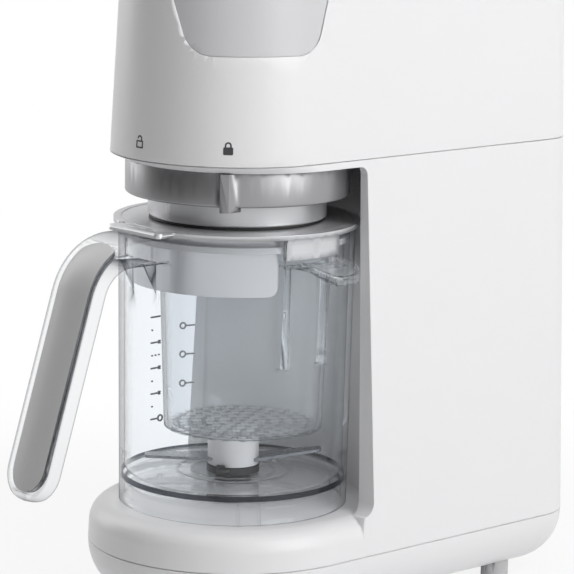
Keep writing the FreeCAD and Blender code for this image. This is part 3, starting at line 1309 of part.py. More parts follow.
def steam_nozzle():
    """Return the keyed steam nozzle that hangs in the arm, with a spigot for the steam tube."""
    low = LID_TOP + NOZZLE_CLEAR
    stem = nozzle_form(0.0, low, ARM_TOP)
    flange = cyl(NOZZLE_FLANGE, ARM_TOP, ARM_TOP + NOZZLE_FLANGE_THICK)
    spigot_top = ARM_TOP + NOZZLE_FLANGE_THICK + NOZZLE_SPIGOT
    spigot = cyl(TUBE_BORE, ARM_TOP, spigot_top)
    nozzle = fused([stem, flange, spigot])
    nozzle = nozzle.cut(cyl(NOZZLE_BORE, low, ARM_TOP))
    return nozzle.cut(cyl(TUBE_BORE / 2, ARM_TOP, spigot_top))


def nozzle_arm():
    """Return the arm that stands on the head's floor behind the ring and holds the nozzle over the jug."""
    half = ARM_HALF_WIDTH
    foot_y = HEAD_FLOOR_REAR - ARM_FOOT
    foot = block(-half, half, foot_y, HEAD_FLOOR_REAR, HEAD_SEAM, HEAD_SEAM + ARM_THICK)
    riser = block(-half, half, foot_y, foot_y + ARM_THICK, HEAD_SEAM, ARM_TOP)
    beam = block(-half, half, 0, foot_y + ARM_THICK, ARM_LOW, ARM_TOP)
    eye = cyl(half, ARM_LOW, ARM_TOP)
    x = -ARM_THICK / 2
    brace = plate([
        vec(x, foot_y, ARM_LOW), vec(x, foot_y, ARM_LOW - ARM_FOOT / 2),
        vec(x, foot_y - ARM_FOOT / 2, ARM_LOW),
    ], vec(ARM_THICK, 0, 0))
    arm = fused([foot, riser, beam, eye, brace])
    return arm.cut(nozzle_form(0.0, ARM_LOW, ARM_TOP))


def tube(points, radius, bend):
    """Return a round bar along straight runs joined by tangent arcs of one radius."""
    edges = []
    start = points[0]
    for before, corner, after in zip(points, points[1:], points[2:]):
        into = (corner - before).normalize()
        out = (after - corner).normalize()
        half_turn = into.getAngle(out) / 2
        cut = bend * math.tan(half_turn)
        first = corner - into * cut
        last = corner + out * cut
        inward = (out - into).normalize()
        middle = corner + inward * (bend / math.cos(half_turn) - bend)
        edges.append(line(start, first))
        edges.append(arc(first, middle, last))
        start = last
    edges.append(line(start, points[-1]))
    path = Part.Wire(edges)
    tangent = (points[1] - points[0]).normalize()
    section = Part.Wire(Part.Circle(points[0], tangent, radius).toShape())
    return path.makePipeShell([section], True, False)


def steam_tube():
    """Return the hose that brings steam from the boiler over the head to the nozzle."""
    spigot_low = ARM_TOP + NOZZLE_FLANGE_THICK
    level = spigot_low + TUBE_TOP
    boiler_top = SHELF + BOILER_HEIGHT
    lower = boiler_top + TUBE_RISE
    points = [vec(0, 0, spigot_low), vec(0, 0, level), vec(0, TUBE_DOWN_Y, level), vec(0, TUBE_DOWN_Y, lower),
              vec(0, BOILER_OUTLET_Y, lower), vec(0, BOILER_OUTLET_Y, boiler_top)]
    bend = TUBE_BEND_SHARE * TUBE_SHIFT
    return tube(points, TUBE_RADIUS, bend).cut(tube(points, TUBE_BORE, bend))


def water_tube():
    """Return the short hose from the tank's spout down to the boiler."""
    high = TANK_LOW
    low = SHELF + BOILER_HEIGHT
    return ring(TUBE_RADIUS, BOILER_SPIGOT_RADIUS, low, high, 0, SPOUT_Y)


def boiler():
    """Return the cast steam boiler: flange, finned pot, inlet and outlet spigots."""
    high = SHELF + BOILER_HEIGHT
    parts = [cyl(BOILER_FLANGE, SHELF, SHELF + BOILER_FLANGE_THICK, 0, BOILER_Y),
             cyl(BOILER_RADIUS, SHELF, high, 0, BOILER_Y)]
    for i in range(BOILER_FINS):
        z = SHELF + BOILER_FLANGE_THICK + (i + 1) * BOILER_FIN_PITCH
        parts.append(cyl(BOILER_RADIUS + BOILER_FIN_REACH, z, z + BOILER_FIN_THICK, 0, BOILER_Y))
    for y in (BOILER_OUTLET_Y, SPOUT_Y):
        parts.append(cyl(BOILER_SPIGOT_RADIUS, high, high + BOILER_SPIGOT, 0, y))
    pot = fused(parts)
    for y in (BOILER_OUTLET_Y, SPOUT_Y):
        pot = pot.cut(cyl(BOILER_SPIGOT_RADIUS / 2, high - BOILER_SPIGOT, high + BOILER_SPIGOT, 0, y))
    return pot


def thermostat():
    """Return the disc thermostat on the boiler's top."""
    low = SHELF + BOILER_HEIGHT
    high = low + THERMOSTAT_HEIGHT
    disc = cyl(THERMOSTAT_RADIUS, low, high, BOILER_RADIUS / 2, BOILER_Y)
    cap = cyl(THERMOSTAT_CAP_RADIUS, high, high + THERMOSTAT_CAP_HEIGHT, BOILER_RADIUS / 2, BOILER_Y)
    return fused([disc, cap])


def water_tank():
    """Return the open-topped tank under the lid's well, with a spout for the water tube."""
    side = TANK_HALF_WIDTH
    rear = TANK_FRONT + TANK_LENGTH
    wall = TANK_WALL
    box = block(-side, side, TANK_FRONT, rear, TANK_LOW, WELL_LOW)
    box = box.makeFillet(TANK_LID_CORNER, edges_of_length(box, TANK_DEPTH))
    hollow = block(-side + wall, side - wall, TANK_FRONT + wall, rear - wall, TANK_LOW + wall, WELL_LOW)
    hollow = hollow.makeFillet(TANK_LID_CORNER - wall, edges_of_length(hollow, TANK_DEPTH - wall))
    spout = cyl(BOILER_SPIGOT_RADIUS, TANK_LOW - BOILER_SPIGOT, TANK_LOW + wall, 0, SPOUT_Y)
    tank = fused([box.cut(hollow), spout])
    return tank.cut(cyl(BOILER_SPIGOT_RADIUS / 2, TANK_LOW - BOILER_SPIGOT, TANK_LOW + wall, 0, SPOUT_Y))


def tank_lid():
    """Return the tank's flap: a plate with a rounded hinge edge and a bore for the pin."""
    pin_y, pin_z = pin_place()
    side = TANK_LID_HALF_WIDTH
    low = TOP - TANK_LID_THICK
    half = TANK_LID_THICK / 2
    front = tank_lid_front()
    leaf = block(-side, side, front, pin_y, low, TOP)
    corners = []
    for edge in edges_of_length(leaf, TANK_LID_THICK):
        if abs(edge.Vertexes[0].Y - front) < SAME:
            corners.append(edge)
    leaf = leaf.makeFillet(TANK_LID_CORNER, corners)
    roll = Part.makeCylinder(half, 2 * side, vec(-side, pin_y, pin_z), vec(1, 0, 0))
    flap = fused([leaf, roll])
    return flap.cut(Part.makeCylinder(PIN_RADIUS + PIN_FIT, 2 * side, vec(-side, pin_y, pin_z), vec(1, 0, 0)))


def tank_hinge_pin():
    """Return the pin that the tank's flap turns on."""
    pin_y, pin_z = pin_place()
    half = TANK_LID_HALF_WIDTH + TANK_LID_GAP + WELL_WALL / 2
    return Part.makeCylinder(PIN_RADIUS, 2 * half, vec(-half, pin_y, pin_z), vec(1, 0, 0))


def control_board():
    """Return the circuit board on its posts, with the dial's encoder and two key switches."""
    half = control_reach()
    board = block(-half, half, board_front(), BOARD_REAR, BOARD_TOP - BOARD_THICK, BOARD_TOP)
    y = nose_centre(TOP)
    high = BOARD_TOP + ENCODER_HEIGHT
    encoder = block(-ENCODER_HALF, ENCODER_HALF, y - ENCODER_HALF, y + ENCODER_HALF, BOARD_TOP, high)
    parts = [board, encoder]
    for sx, sy in button_places():
        parts.append(block(sx - SWITCH_HALF, sx + SWITCH_HALF, sy - SWITCH_HALF, sy + SWITCH_HALF,
                           BOARD_TOP, BOARD_TOP + SWITCH_HEIGHT))
    assembly = fused(parts)
    return assembly.cut(cyl(DIAL_SHAFT_RADIUS + SHAFT_FIT, BOARD_TOP, high, 0, y))


def dial():
    """Return the dial: a tapered knob with grip flutes and its shaft."""
    y = nose_centre(TOP)
    low = TOP - PANEL_SINK + DIAL_LIFT
    high = low + DIAL_HEIGHT
    knob = cone(DIAL_RADIUS, DIAL_RADIUS - DIAL_TAPER, low, high)
    knob = knob.makeFillet(DIAL_EDGE_ROUND, level_edges(knob, high))
    flute = cyl(DIAL_GRIP_RADIUS, low, high, DIAL_RADIUS + DIAL_GRIP_RADIUS / 2)
    for i in range(DIAL_GRIPS):
        knob = knob.cut(turned(flute, i * 360 / DIAL_GRIPS))
    shaft = cyl(DIAL_SHAFT_RADIUS, BOARD_TOP + RUN_GAP, low + DIAL_HEIGHT / 2)
    piece = fused([knob, shaft])
    piece.translate(vec(0, y, 0))
    return piece


def button(place):
    """Return one push button: cap, retaining flange under the cover and stem."""
    x, y = place
    under = TOP - WALL - PANEL_THICK
    cap = cyl(BUTTON_RADIUS, under - RUN_GAP, TOP + BUTTON_PROUD, x, y)
    cap = cap.makeFillet(BUTTON_PROUD / 2, level_edges(cap, TOP + BUTTON_PROUD))
    flange = cyl(BUTTON_RADIUS + BUTTON_FLANGE, under - RUN_GAP - BUTTON_FLANGE_THICK, under - RUN_GAP, x, y)
    stem = cyl(BUTTON_STEM_RADIUS, BOARD_TOP + SWITCH_HEIGHT + BUTTON_TRAVEL + RUN_GAP, under - RUN_GAP, x, y)
    return fused([cap, flange, stem])


def blend_button():
    """Return the button on the nose's side of the fascia."""
    return button(button_places()[0])


def steam_button():
    """Return the button on the tower's side of the fascia."""
    return button(button_places()[1])


def cord_gland():
    """Return the flanged gland in the rear wall."""
    inner = REAR_REACH - WALL - GLAND_FLANGE_THICK
    sleeve = gland_bar(GLAND_RADIUS, inner, REAR_REACH)
    flange = gland_bar(GLAND_FLANGE, inner, REAR_REACH - WALL)
    return fused([sleeve, flange]).cut(gland_bar(GLAND_BORE, inner, REAR_REACH))


PIECES = [
    base_pan, main_body, head_cover, control_fascia, rubber_feet, base_screws, cord_gland,
    motor_bracket, motor, motor_shaft, motor_pulley, drive_belt, driven_pulley, drive_spindle, drive_dog,
    spindle_bush, pan_bush,
    boiler, thermostat, water_tube, steam_tube, steam_nozzle, nozzle_arm,
    water_tank, tank_lid, tank_hinge_pin,
    control_board, dial, blend_button, steam_button,
    lock_ring, seal_collar, collar_gasket,
    jug, handle_insert, jug_lid, lid_gasket, steam_basket, jug_bush, hub_seal, blade_shaft, blade_hub, blade,
]


def main():
    """Build every piece, move it into the finished frame and write it."""
    os.makedirs("parts", exist_ok=True)
    for piece in PIECES:
        shape = piece()
        shape.translate(vec(AXIS_X, AXIS_Y, 0))
        shape.exportStep(os.path.join("parts", piece.__name__ + ".step"))
        box = shape.BoundBox
        print(f"{piece.__name__}: {len(shape.Solids)} solids, valid {shape.isValid()}, "
              f"volume {shape.Volume:.0f}, x {box.XMin:.1f} to {box.XMax:.1f}, "
              f"y {box.YMin:.1f} to {box.YMax:.1f}, z {box.ZMin:.1f} to {box.ZMax:.1f}")
    print(f"jug axis at x {AXIS_X:.4f}, y {AXIS_Y:.4f}")


main()
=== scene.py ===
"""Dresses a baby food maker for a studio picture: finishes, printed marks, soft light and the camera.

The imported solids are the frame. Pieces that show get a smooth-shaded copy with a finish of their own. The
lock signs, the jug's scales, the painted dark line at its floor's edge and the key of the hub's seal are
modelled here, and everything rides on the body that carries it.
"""
from __future__ import annotations

import json
import logging
import math
from dataclasses import dataclass, field
from enum import Enum
from functools import cache
from typing import Any, Callable, Sequence, Union

import bpy
from mathutils import Matrix, Vector

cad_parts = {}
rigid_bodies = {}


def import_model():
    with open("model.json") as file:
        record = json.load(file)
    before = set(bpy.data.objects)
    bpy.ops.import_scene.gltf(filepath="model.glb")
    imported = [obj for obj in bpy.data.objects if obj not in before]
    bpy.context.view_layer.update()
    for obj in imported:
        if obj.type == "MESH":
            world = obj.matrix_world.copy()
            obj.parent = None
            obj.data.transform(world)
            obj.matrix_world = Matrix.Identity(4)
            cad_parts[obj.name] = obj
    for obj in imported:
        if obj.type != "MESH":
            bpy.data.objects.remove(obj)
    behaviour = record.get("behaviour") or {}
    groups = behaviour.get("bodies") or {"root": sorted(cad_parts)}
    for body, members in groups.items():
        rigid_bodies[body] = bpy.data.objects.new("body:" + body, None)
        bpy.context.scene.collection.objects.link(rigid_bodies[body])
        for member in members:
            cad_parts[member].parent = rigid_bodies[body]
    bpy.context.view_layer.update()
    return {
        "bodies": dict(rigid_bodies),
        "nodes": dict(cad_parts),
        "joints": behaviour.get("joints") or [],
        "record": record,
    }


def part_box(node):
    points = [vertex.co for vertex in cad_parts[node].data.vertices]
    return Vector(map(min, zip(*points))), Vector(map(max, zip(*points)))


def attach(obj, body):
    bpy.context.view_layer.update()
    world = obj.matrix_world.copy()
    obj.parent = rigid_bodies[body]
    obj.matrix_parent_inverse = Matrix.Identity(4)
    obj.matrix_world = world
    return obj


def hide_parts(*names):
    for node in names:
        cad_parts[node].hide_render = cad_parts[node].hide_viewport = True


LOG = logging.getLogger("food_maker")
MM = 0.001
PICTURE_PIXELS = 574
SENSOR_MM = 36.0
CLEAR_FACES = 32        # clear faces that a ray may pass
WELD = 0.002            # points of a copied mesh that are closer than this become one, in mm
AREA_WEIGHT = 100       # how strongly large faces lead the shading
CORNER_STEPS = 5        # straight steps in a plate's rounded corner
HOOP_STEPS = 40         # straight steps round a printed hoop
BAND_STEPS = 180        # straight steps round the jug's wall

Colour = tuple[float, float, float]
Operand = Union["Sock", float]
Piece = bpy.types.Object
WHITE: Colour = (1.0, 1.0, 1.0)


class Sock:
    """A node's output that takes part in arithmetic, where each operation adds one Math node."""

    def __init__(self, shader: Shader, socket: bpy.types.NodeSocket | None) -> None:
        """Keep the node tree and the output socket, or None for a node that has no outputs."""
        self.shader = shader
        self.socket = socket

    def _math(self, operation: str, first: Operand, second: Operand) -> Sock:
        """Return the output of a Math node on two operands."""
        return self.shader.node("ShaderNodeMath", {"operation": operation}, {0: first, 1: second})

    def __add__(self, other: Operand) -> Sock:
        """Return self + other."""
        return self._math("ADD", self, other)

    def __radd__(self, other: Operand) -> Sock:
        """Return other + self."""
        return self._math("ADD", other, self)

    def __sub__(self, other: Operand) -> Sock:
        """Return self - other."""
        return self._math("SUBTRACT", self, other)

    def __rsub__(self, other: Operand) -> Sock:
        """Return other - self."""
        return self._math("SUBTRACT", other, self)

    def __mul__(self, other: Operand) -> Sock:
        """Return self * other."""
        return self._math("MULTIPLY", self, other)

    def __rmul__(self, other: Operand) -> Sock:
        """Return other * self."""
        return self._math("MULTIPLY", other, self)

    def __pow__(self, other: Operand) -> Sock:
        """Return self to the power of other."""
        return self._math("POWER", self, other)

    def __rpow__(self, other: Operand) -> Sock:
        """Return other to the power of self."""
        return self._math("POWER", other, self)


class Shader:
    """Builds the node tree of one material or world."""

    def __init__(self, holder: bpy.types.Material | bpy.types.World) -> None:
        """Start an empty node tree.

        Args:
            holder: The material or world that the nodes belong to.
        """
        holder.use_nodes = True
        self.tree = holder.node_tree
        self.tree.nodes.clear()

    def node(
        self,
        kind: str,
        settings: dict[str, Any] | None = None,
        inputs: dict[int | str, Any] | None = None,
        output: int | str = 0,
    ) -> Sock:
        """Add a node.

        Args:
            kind: The node's type.
            settings: Properties that are set first.
            inputs: Values or links of its input sockets.
            output: Which output to return.

        Returns:
            The chosen output.
        """
        made = self.tree.nodes.new(kind)
        for key, value in (settings or {}).items():
            setattr(made, key, value)
        for key, value in (inputs or {}).items():
            if isinstance(value, Sock):
                self.tree.links.new(value.socket, made.inputs[key])
            else:
                made.inputs[key].default_value = value
        return Sock(self, made.outputs[output] if made.outputs else None)

    def place(self) -> Sock:
        """Return the object's own coordinates."""
        return self.node("ShaderNodeTexCoord", output="Object")

    def noise(self, scale: float, detail: float = 2.0, stretch: Sequence[float] | None = None) -> Sock:
        """Add a noise over the object.

        Args:
            scale: How many features there are to a metre.
            detail: Octaves of finer noise.
            stretch: A scale for each axis, or None for an even noise.

        Returns:
            A value between about 0 and 1.
        """
        vector = self.place()
        if stretch is not None:
            vector = self.node("ShaderNodeMapping", None, {"Vector": vector, "Scale": tuple(stretch)})
        return self.node("ShaderNodeTexNoise", None, {"Vector": vector, "Scale": scale, "Detail": detail})

    def mix_colour(self, factor: Operand, first: Colour, second: Colour) -> Sock:
        """Return a blend of two colours, which are a Mix node's inputs 6 and 7 and its output 2."""
        inputs = {0: factor, 6: (*first, 1.0), 7: (*second, 1.0)}
        return self.node("ShaderNodeMix", {"data_type": "RGBA"}, inputs, 2)

    def bump(self, strength: float, depth: float, height: Sock, under: Sock | None = None) -> Sock:
        """Return a normal with a relief, its depth in mm, on another normal or the mesh's own."""
        inputs = {"Strength": strength, "Distance": depth * MM, "Height": height}
        return self.node("ShaderNodeBump", None, {**inputs, "Normal": under} if under else inputs)

    def rounded(self, radius: float, samples: int) -> Sock:
        """Return a normal that runs softly over edges, by a radius in mm."""
        return self.node("ShaderNodeBevel", {"samples": samples}, {"Radius": radius * MM})

    def eased(self, value: Sock, start: float, stop: float, low: float, high: float) -> Sock:
        """Return a level that eases from low to high as a value goes from start to stop."""
        inputs = {"Value": value, "From Min": start, "From Max": stop, "To Min": low, "To Max": high}
        return self.node("ShaderNodeMapRange", {"interpolation_type": "SMOOTHSTEP"}, inputs)

    def ray(self, kind: str) -> Sock:
        """Return 1 for rays of one kind."""
        return self.node("ShaderNodeLightPath", output=f"Is {kind} Ray")

    def seen_directly(self) -> Sock:
        """Return 1 for rays that show the background: camera, glossy and transmission rays."""
        rays = self.ray("Camera") + self.ray("Glossy") + self.ray("Transmission")
        return self.node("ShaderNodeMath", {"operation": "MINIMUM"}, {0: rays, 1: 1.0})

    def principled(self, **inputs: Any) -> Sock:
        """Return a Principled surface, with underscores in the names of sockets read as spaces."""
        named = {key.replace("_", " "): value for key, value in inputs.items()}
        return self.node("ShaderNodeBsdfPrincipled", None, named)

    def clear(self, colour: Colour) -> Sock:
        """Return a surface that tints light and lets it go straight on."""
        return self.node("ShaderNodeBsdfTransparent", None, {"Color": (*colour, 1.0)})

    def mixed(self, factor: Operand, first: Sock, second: Sock) -> Sock:
        """Return a mix of two surfaces."""
        return self.node("ShaderNodeMixShader", None, {0: factor, 1: first, 2: second})

    def finish(self, surface: Sock, kind: str = "ShaderNodeOutputMaterial") -> None:
        """Connect the surface to the tree's output."""
        self.node(kind, None, {"Surface": surface})


@dataclass(frozen=True)
class Surface:
    """What a piece is made of.

    Attributes:
        name: Name of the finish.
    """

    name: str

    def shade(self, shader: Shader) -> Sock:
        """Return the surface, which each kind of finish builds in its own way."""
        raise NotImplementedError(self.name)

    def material(self) -> bpy.types.Material:
        """Make a material of the finish.

        Returns:
            The material.
        """
        made = bpy.data.materials.new(self.name)
        shader = Shader(made)
        shader.finish(self.shade(shader))
        return made


@dataclass(frozen=True)
class Moulding(Surface):
    """An opaque moulded plastic or rubber with a fine skin grain and softly rounded edges.

    Attributes:
        colour: Its colour.
        roughness: Middle of its roughness.
        mottle: How much the colour varies.
        grain: Strength of the skin grain.
        edge: Radius that edges look rounded by, in mm, or 0 for crisp edges.
        metallic: Share of metal flakes in the colour.
        grain_scale: Grains to a metre.
        grain_depth: Depth of the grain, in mm.
        patches: Patches to a metre, over which colour and roughness vary.
        patch_detail: Octaves of finer patches.
        swing: How much the roughness varies.
        samples: Rays that look for an edge.
    """

    colour: Colour
    roughness: float
    mottle: float = 0.02
    grain: float = 0.04
    edge: float = 0.35
    metallic: float = 0.0
    grain_scale: float = 2600.0
    grain_depth: float = 0.1
    patches: float = 14.0
    patch_detail: float = 3.0
    swing: float = 0.08
    samples: int = 6

    def shade(self, shader: Shader) -> Sock:
        """Build the plastic's surface.

        Args:
            shader: The node tree.

        Returns:
            The surface.
        """
        broad = shader.noise(self.patches, self.patch_detail)
        fine = shader.noise(self.grain_scale, detail=1.0)
        darker = tuple(channel * (1.0 - self.mottle) for channel in self.colour)
        soft = shader.rounded(self.edge, self.samples) if self.edge > 0.0 else None
        return shader.principled(
            Base_Color=shader.mix_colour(broad, darker, self.colour),
            Roughness=self.roughness - self.swing / 2 + self.swing * broad,
            Normal=shader.bump(self.grain, self.grain_depth, fine, soft),
            Metallic=self.metallic,
        )


@dataclass(frozen=True)
class ClearPlastic(Surface):
    """A clear, polished plastic wall: see-through facing the eye, bending, with painted shade at its edges.

    Attributes:
        tint: Colour that each face of the wall gives to light.
        painted_edge_shade: Colour of the painted shade that its edges give to light, in place of
            refraction's dark.
        rim: How quickly the painted edge shade fades away from where the wall turns aside.
        line: Reach of the painted dark line along its sharp edges, in mm.
        dark: Strength of that painted line.
        lit: Share of the lamps' light that each face lets through to what is inside.
        bend: Share of the light that is bent as in solid glass where the wall turns aside.
        turned: How far the wall is turned aside where the bending starts and where it is full.
        index: How strongly the plastic bends light.
        sheen: Share of the light that it mirrors where it faces the eye.
        glare: Share that it mirrors more at its edges.
        glare_power: How quickly that share fades away from the edges.
        roughness: Least roughness of the polish.
        smear: How much the roughness varies.
        mist: Share of the light that the plastic scatters.
        milk: Colour of the scattered light.
        milk_roughness: Roughness of the surface that scatters.
        ripples: Ripples of the wall to a metre.
        ripple: Strength of the ripples.
        ripple_depth: Their depth, in mm.
        samples: Rays that look for an edge.
    """

    tint: Colour
    # painted shade: dark tint given to the wall's edges, in place of the dark that refraction shows
    painted_edge_shade: Colour = (0.06, 0.07, 0.09)
    rim: float = 12.0
    line: float = 0.9
    dark: float = 5.0
    lit: float = 0.985
    bend: float = 0.6
    turned: tuple[float, float] = (0.50, 0.90)
    index: float = 1.46
    sheen: float = 0.02
    glare: float = 0.35
    glare_power: float = 5.0
    roughness: float = 0.03
    smear: float = 0.02
    mist: float = 0.0
    milk: Colour = (0.85, 0.88, 0.90)
    milk_roughness: float = 0.3
    ripples: float = 45.0
    ripple: float = 0.02
    ripple_depth: float = 0.3
    samples: int = 2

    def painted_edge_shade_share(self, shader: Shader, facing: Sock) -> Sock:
        """Find where the painted edge shade goes: where the wall turns aside and along its sharp edges.

        Args:
            shader: The node tree.
            facing: How far the wall is turned aside.

        Returns:
            The share of painted edge shade.
        """
        soft = shader.rounded(self.line, self.samples)
        flat = shader.node("ShaderNodeNewGeometry", output="Normal")
        dot = {"operation": "DOT_PRODUCT"}
        along = shader.node("ShaderNodeVectorMath", dot, {0: soft, 1: flat}, "Value")
        sharp = self.dark * (1.0 - along)
        return shader.node("ShaderNodeMath", {"operation": "MAXIMUM"}, {0: facing ** self.rim, 1: sharp})

    def wall(self, shader: Shader, facing: Sock, bump: Sock, polish: Sock) -> Sock:
        """Build the wall without its smoke.

        Args:
            shader: The node tree.
            facing: How far the wall is turned aside.
            bump: The wall's normal.
            polish: Its roughness.

        Returns:
            A surface that is thin where it faces the eye and bends light where it turns aside.
        """
        milky = shader.principled(Base_Color=(*self.milk, 1.0), Roughness=self.milk_roughness, Normal=bump)
        clear = shader.mixed(self.mist, shader.clear(self.tint), milky)
        mirror = shader.principled(Base_Color=(*WHITE, 1.0), Metallic=1.0, Roughness=polish, Normal=bump)
        thin = shader.mixed(self.sheen + self.glare * facing ** self.glare_power, clear, mirror)
        solid = shader.principled(
            Base_Color=(*self.tint, 1.0),
            Transmission_Weight=1.0,
            IOR=self.index,
            Roughness=polish,
            Normal=bump,
        )
        return shader.mixed(shader.eased(facing, *self.turned, 0.0, self.bend), thin, solid)

    def shade(self, shader: Shader) -> Sock:
        """Build the plastic's surface, which lets the lamps through to what is inside.

        Args:
            shader: The node tree.

        Returns:
            The surface.
        """
        wave = shader.noise(self.ripples, detail=1.0)
        bump = shader.bump(self.ripple, self.ripple_depth, wave)
        facing = shader.node("ShaderNodeLayerWeight", None, {"Normal": bump}, "Facing")
        wall = self.wall(shader, facing, bump, self.roughness + self.smear * wave)
        # painted shade: a dark see-through tint mixed in where the wall turns aside and along its sharp
        # edges
        look = shader.mixed(self.painted_edge_shade_share(shader, facing), wall, shader.clear(self.painted_edge_shade))
        lamps = shader.ray("Shadow") + shader.ray("Diffuse")
        return shader.mixed(lamps, look, shader.clear((self.lit, self.lit, self.lit)))


@dataclass(frozen=True)
class Metal(Surface):
    """A metal with drawn or turned lines.

    Attributes:
        colour: Its colour.
        roughness: Middle of its roughness.
        lines: A scale for each axis, which stretches the lines.
        streak: How much the lines change the roughness.
        dull: Share of the colour that is left between the lines.
        line_scale: Lines to a metre.
        relief: Strength of the lines' relief.
        relief_depth: Its depth, in mm.
    """

    colour: Colour
    roughness: float
    lines: tuple[float, float, float] = (1.0, 1.0, 12.0)
    streak: float = 0.16
    dull: float = 0.86
    line_scale: float = 220.0
    relief: float = 0.05
    relief_depth: float = 0.05

    def shade(self, shader: Shader) -> Sock:
        """Build the metal's surface.

        Args:
            shader: The node tree.

        Returns:
            The surface.
        """
        lines = shader.noise(self.line_scale, stretch=self.lines)
        duller = tuple(channel * self.dull for channel in self.colour)
        return shader.principled(
            Base_Color=shader.mix_colour(lines, duller, self.colour),
            Metallic=1.0,
            Roughness=self.roughness - self.streak / 2 + self.streak * lines,
            Normal=shader.bump(self.relief, self.relief_depth, lines),
        )


@dataclass(frozen=True)
class Ink(Surface):
    """A thin printed ink.

    Attributes:
        colour: Its colour.
        roughness: Middle of its roughness.
        swing: How much the roughness varies.
        specks: Paler specks to a metre.
        fade: How much paler the specks are, as a factor.
        lift: What is added to their colour.
    """

    colour: Colour
    roughness: float = 0.5
    swing: float = 0.1
    specks: float = 900.0
    fade: float = 1.35
    lift: float = 0.01

    def shade(self, shader: Shader) -> Sock:
        """Build the ink's surface.

        Args:
            shader: The node tree.

        Returns:
            The surface.
        """
        speck = shader.noise(self.specks)
        paler = tuple(min(1.0, channel * self.fade + self.lift) for channel in self.colour)
        return shader.principled(
            Base_Color=shader.mix_colour(speck, self.colour, paler),
            Roughness=self.roughness - self.swing / 2 + self.swing * speck,
        )


@dataclass(frozen=True)
class PaleFloor(Surface):
    """A pale matt floor, which shows white to the camera and keeps a soft shadow near the machine.

    Attributes:
        shadow_reach: Distances from the machine between which the shadow fades to white, in metres.
        shadow_share: How much of the floor's own light shows near the machine.
        shades: The two colours that it varies between.
        patches: Patches of these colours to a metre.
        roughness: Its roughness.
    """

    shadow_reach: tuple[float, float] = (0.22, 0.48)
    shadow_share: float = 0.14
    shades: tuple[Colour, Colour] = ((0.90, 0.90, 0.905), (0.92, 0.92, 0.92))
    patches: float = 3.0
    roughness: float = 0.9

    def shade(self, shader: Shader) -> Sock:
        """Build the floor's surface.

        Args:
            shader: The node tree.

        Returns:
            The surface.
        """
        pale = shader.mix_colour(shader.noise(self.patches), *self.shades)
        matt = shader.principled(Base_Color=pale, Roughness=self.roughness)
        glow = shader.node("ShaderNodeEmission", None, {"Color": (*WHITE, 1.0), "Strength": 1.0})
        away = shader.node("ShaderNodeVectorMath", {"operation": "LENGTH"}, {0: shader.place()}, "Value")
        white = shader.eased(away, *self.shadow_reach, 1.0 - self.shadow_share, 1.0)
        return shader.mixed(white * shader.seen_directly(), matt, glow)


@dataclass(frozen=True)
class DarkCard(Surface):
    """A dark matt card.

    Attributes:
        colour: Its colour.
        roughness: Its roughness.
    """

    colour: Colour = (0.03, 0.03, 0.03)
    roughness: float = 0.9

    def shade(self, shader: Shader) -> Sock:
        """Return the card's surface."""
        return shader.principled(Base_Color=(*self.colour, 1.0), Roughness=self.roughness)


class Finish(Enum):
    """The finishes of the machine's pieces."""

    SHELL = Moulding("white_shell", (0.80, 0.80, 0.81), 0.36, 0.012, 0.03, edge=0.6)
    FASCIA = Moulding("grey_fascia", (0.62, 0.62, 0.635), 0.34, 0.02, 0.05, edge=0.0)
    RING = Moulding("grey_ring", (0.32, 0.32, 0.33), 0.36, 0.03, 0.05, metallic=0.65)
    SILVER = Moulding("silver_grey_moulding", (0.62, 0.625, 0.64), 0.34, 0.02, 0.04, metallic=0.55)
    LIGHT = Moulding("light_grey_moulding", (0.68, 0.685, 0.70), 0.32, 0.02, 0.04)
    GRIP = Moulding("grey_grip", (0.60, 0.60, 0.605), 0.40, 0.02, 0.05)
    DARK = Moulding("dark_moulding", (0.030, 0.030, 0.033), 0.42, 0.1, 0.08)
    BLACK_SEAL = Moulding("black_seal", (0.012, 0.012, 0.013), 0.55, 0.2, 0.10)
    PALE_SEAL = Moulding("pale_seal", (0.60, 0.61, 0.63), 0.50, 0.04, 0.06)
    FOOT = Moulding("foot_rubber", (0.55, 0.55, 0.56), 0.62, 0.06, 0.12)
    HOSE = Moulding("milky_hose", (0.62, 0.62, 0.60), 0.40, 0.04, 0.04)
    BOARD = Moulding("circuit_board", (0.02, 0.10, 0.045), 0.38, 0.15, 0.06)
    # painted shade: the clear finishes darken their edges; the handle's rim, line and dark make it
    # strongest
    CLEAR = ClearPlastic("clear_plastic", (0.980, 0.990, 0.999))
    BASKET = ClearPlastic("clear_basket", (0.980, 0.990, 0.999), mist=0.07)
    CLEAR_GRIP = ClearPlastic("clear_handle", (0.982, 0.986, 0.990), rim=3.0, line=1.5, dark=7.0, bend=0.3)
    # painted shade: a dark see-through band at the jug floor's edge, in place of the line refraction draws
    FLOOR_EDGE_SHADE = ClearPlastic("painted_floor_edge_shade", (0.30, 0.32, 0.35), line=0.0, bend=0.0)
    TANK = ClearPlastic("clear_tank", (0.93, 0.95, 0.96), roughness=0.06)
    STEEL = Metal("blade_steel", (0.26, 0.27, 0.29), 0.28)
    ZINC = Metal("zinc_steel", (0.52, 0.53, 0.55), 0.36)
    ALLOY = Metal("cast_alloy", (0.60, 0.61, 0.62), 0.46, (1.0, 1.0, 1.0))
    BRONZE = Metal("bronze", (0.45, 0.30, 0.14), 0.40, (1.0, 1.0, 1.0))
    INK = Ink("sign_ink", (0.030, 0.030, 0.034))
    SCALE_INK = Ink("scale_ink", (0.16, 0.17, 0.19))


@cache
def material_of(finish: Finish) -> bpy.types.Material:
    """Return the material of a finish, which is made once."""
    return finish.value.material()


def dressed_with(obj: Piece, *finishes: Finish) -> None:
    """Give an object its finishes.

    Args:
        obj: The mesh object.
        finishes: What its material slots hold, in order.
    """
    obj.data.materials.clear()
    for finish in finishes:
        obj.data.materials.append(material_of(finish))


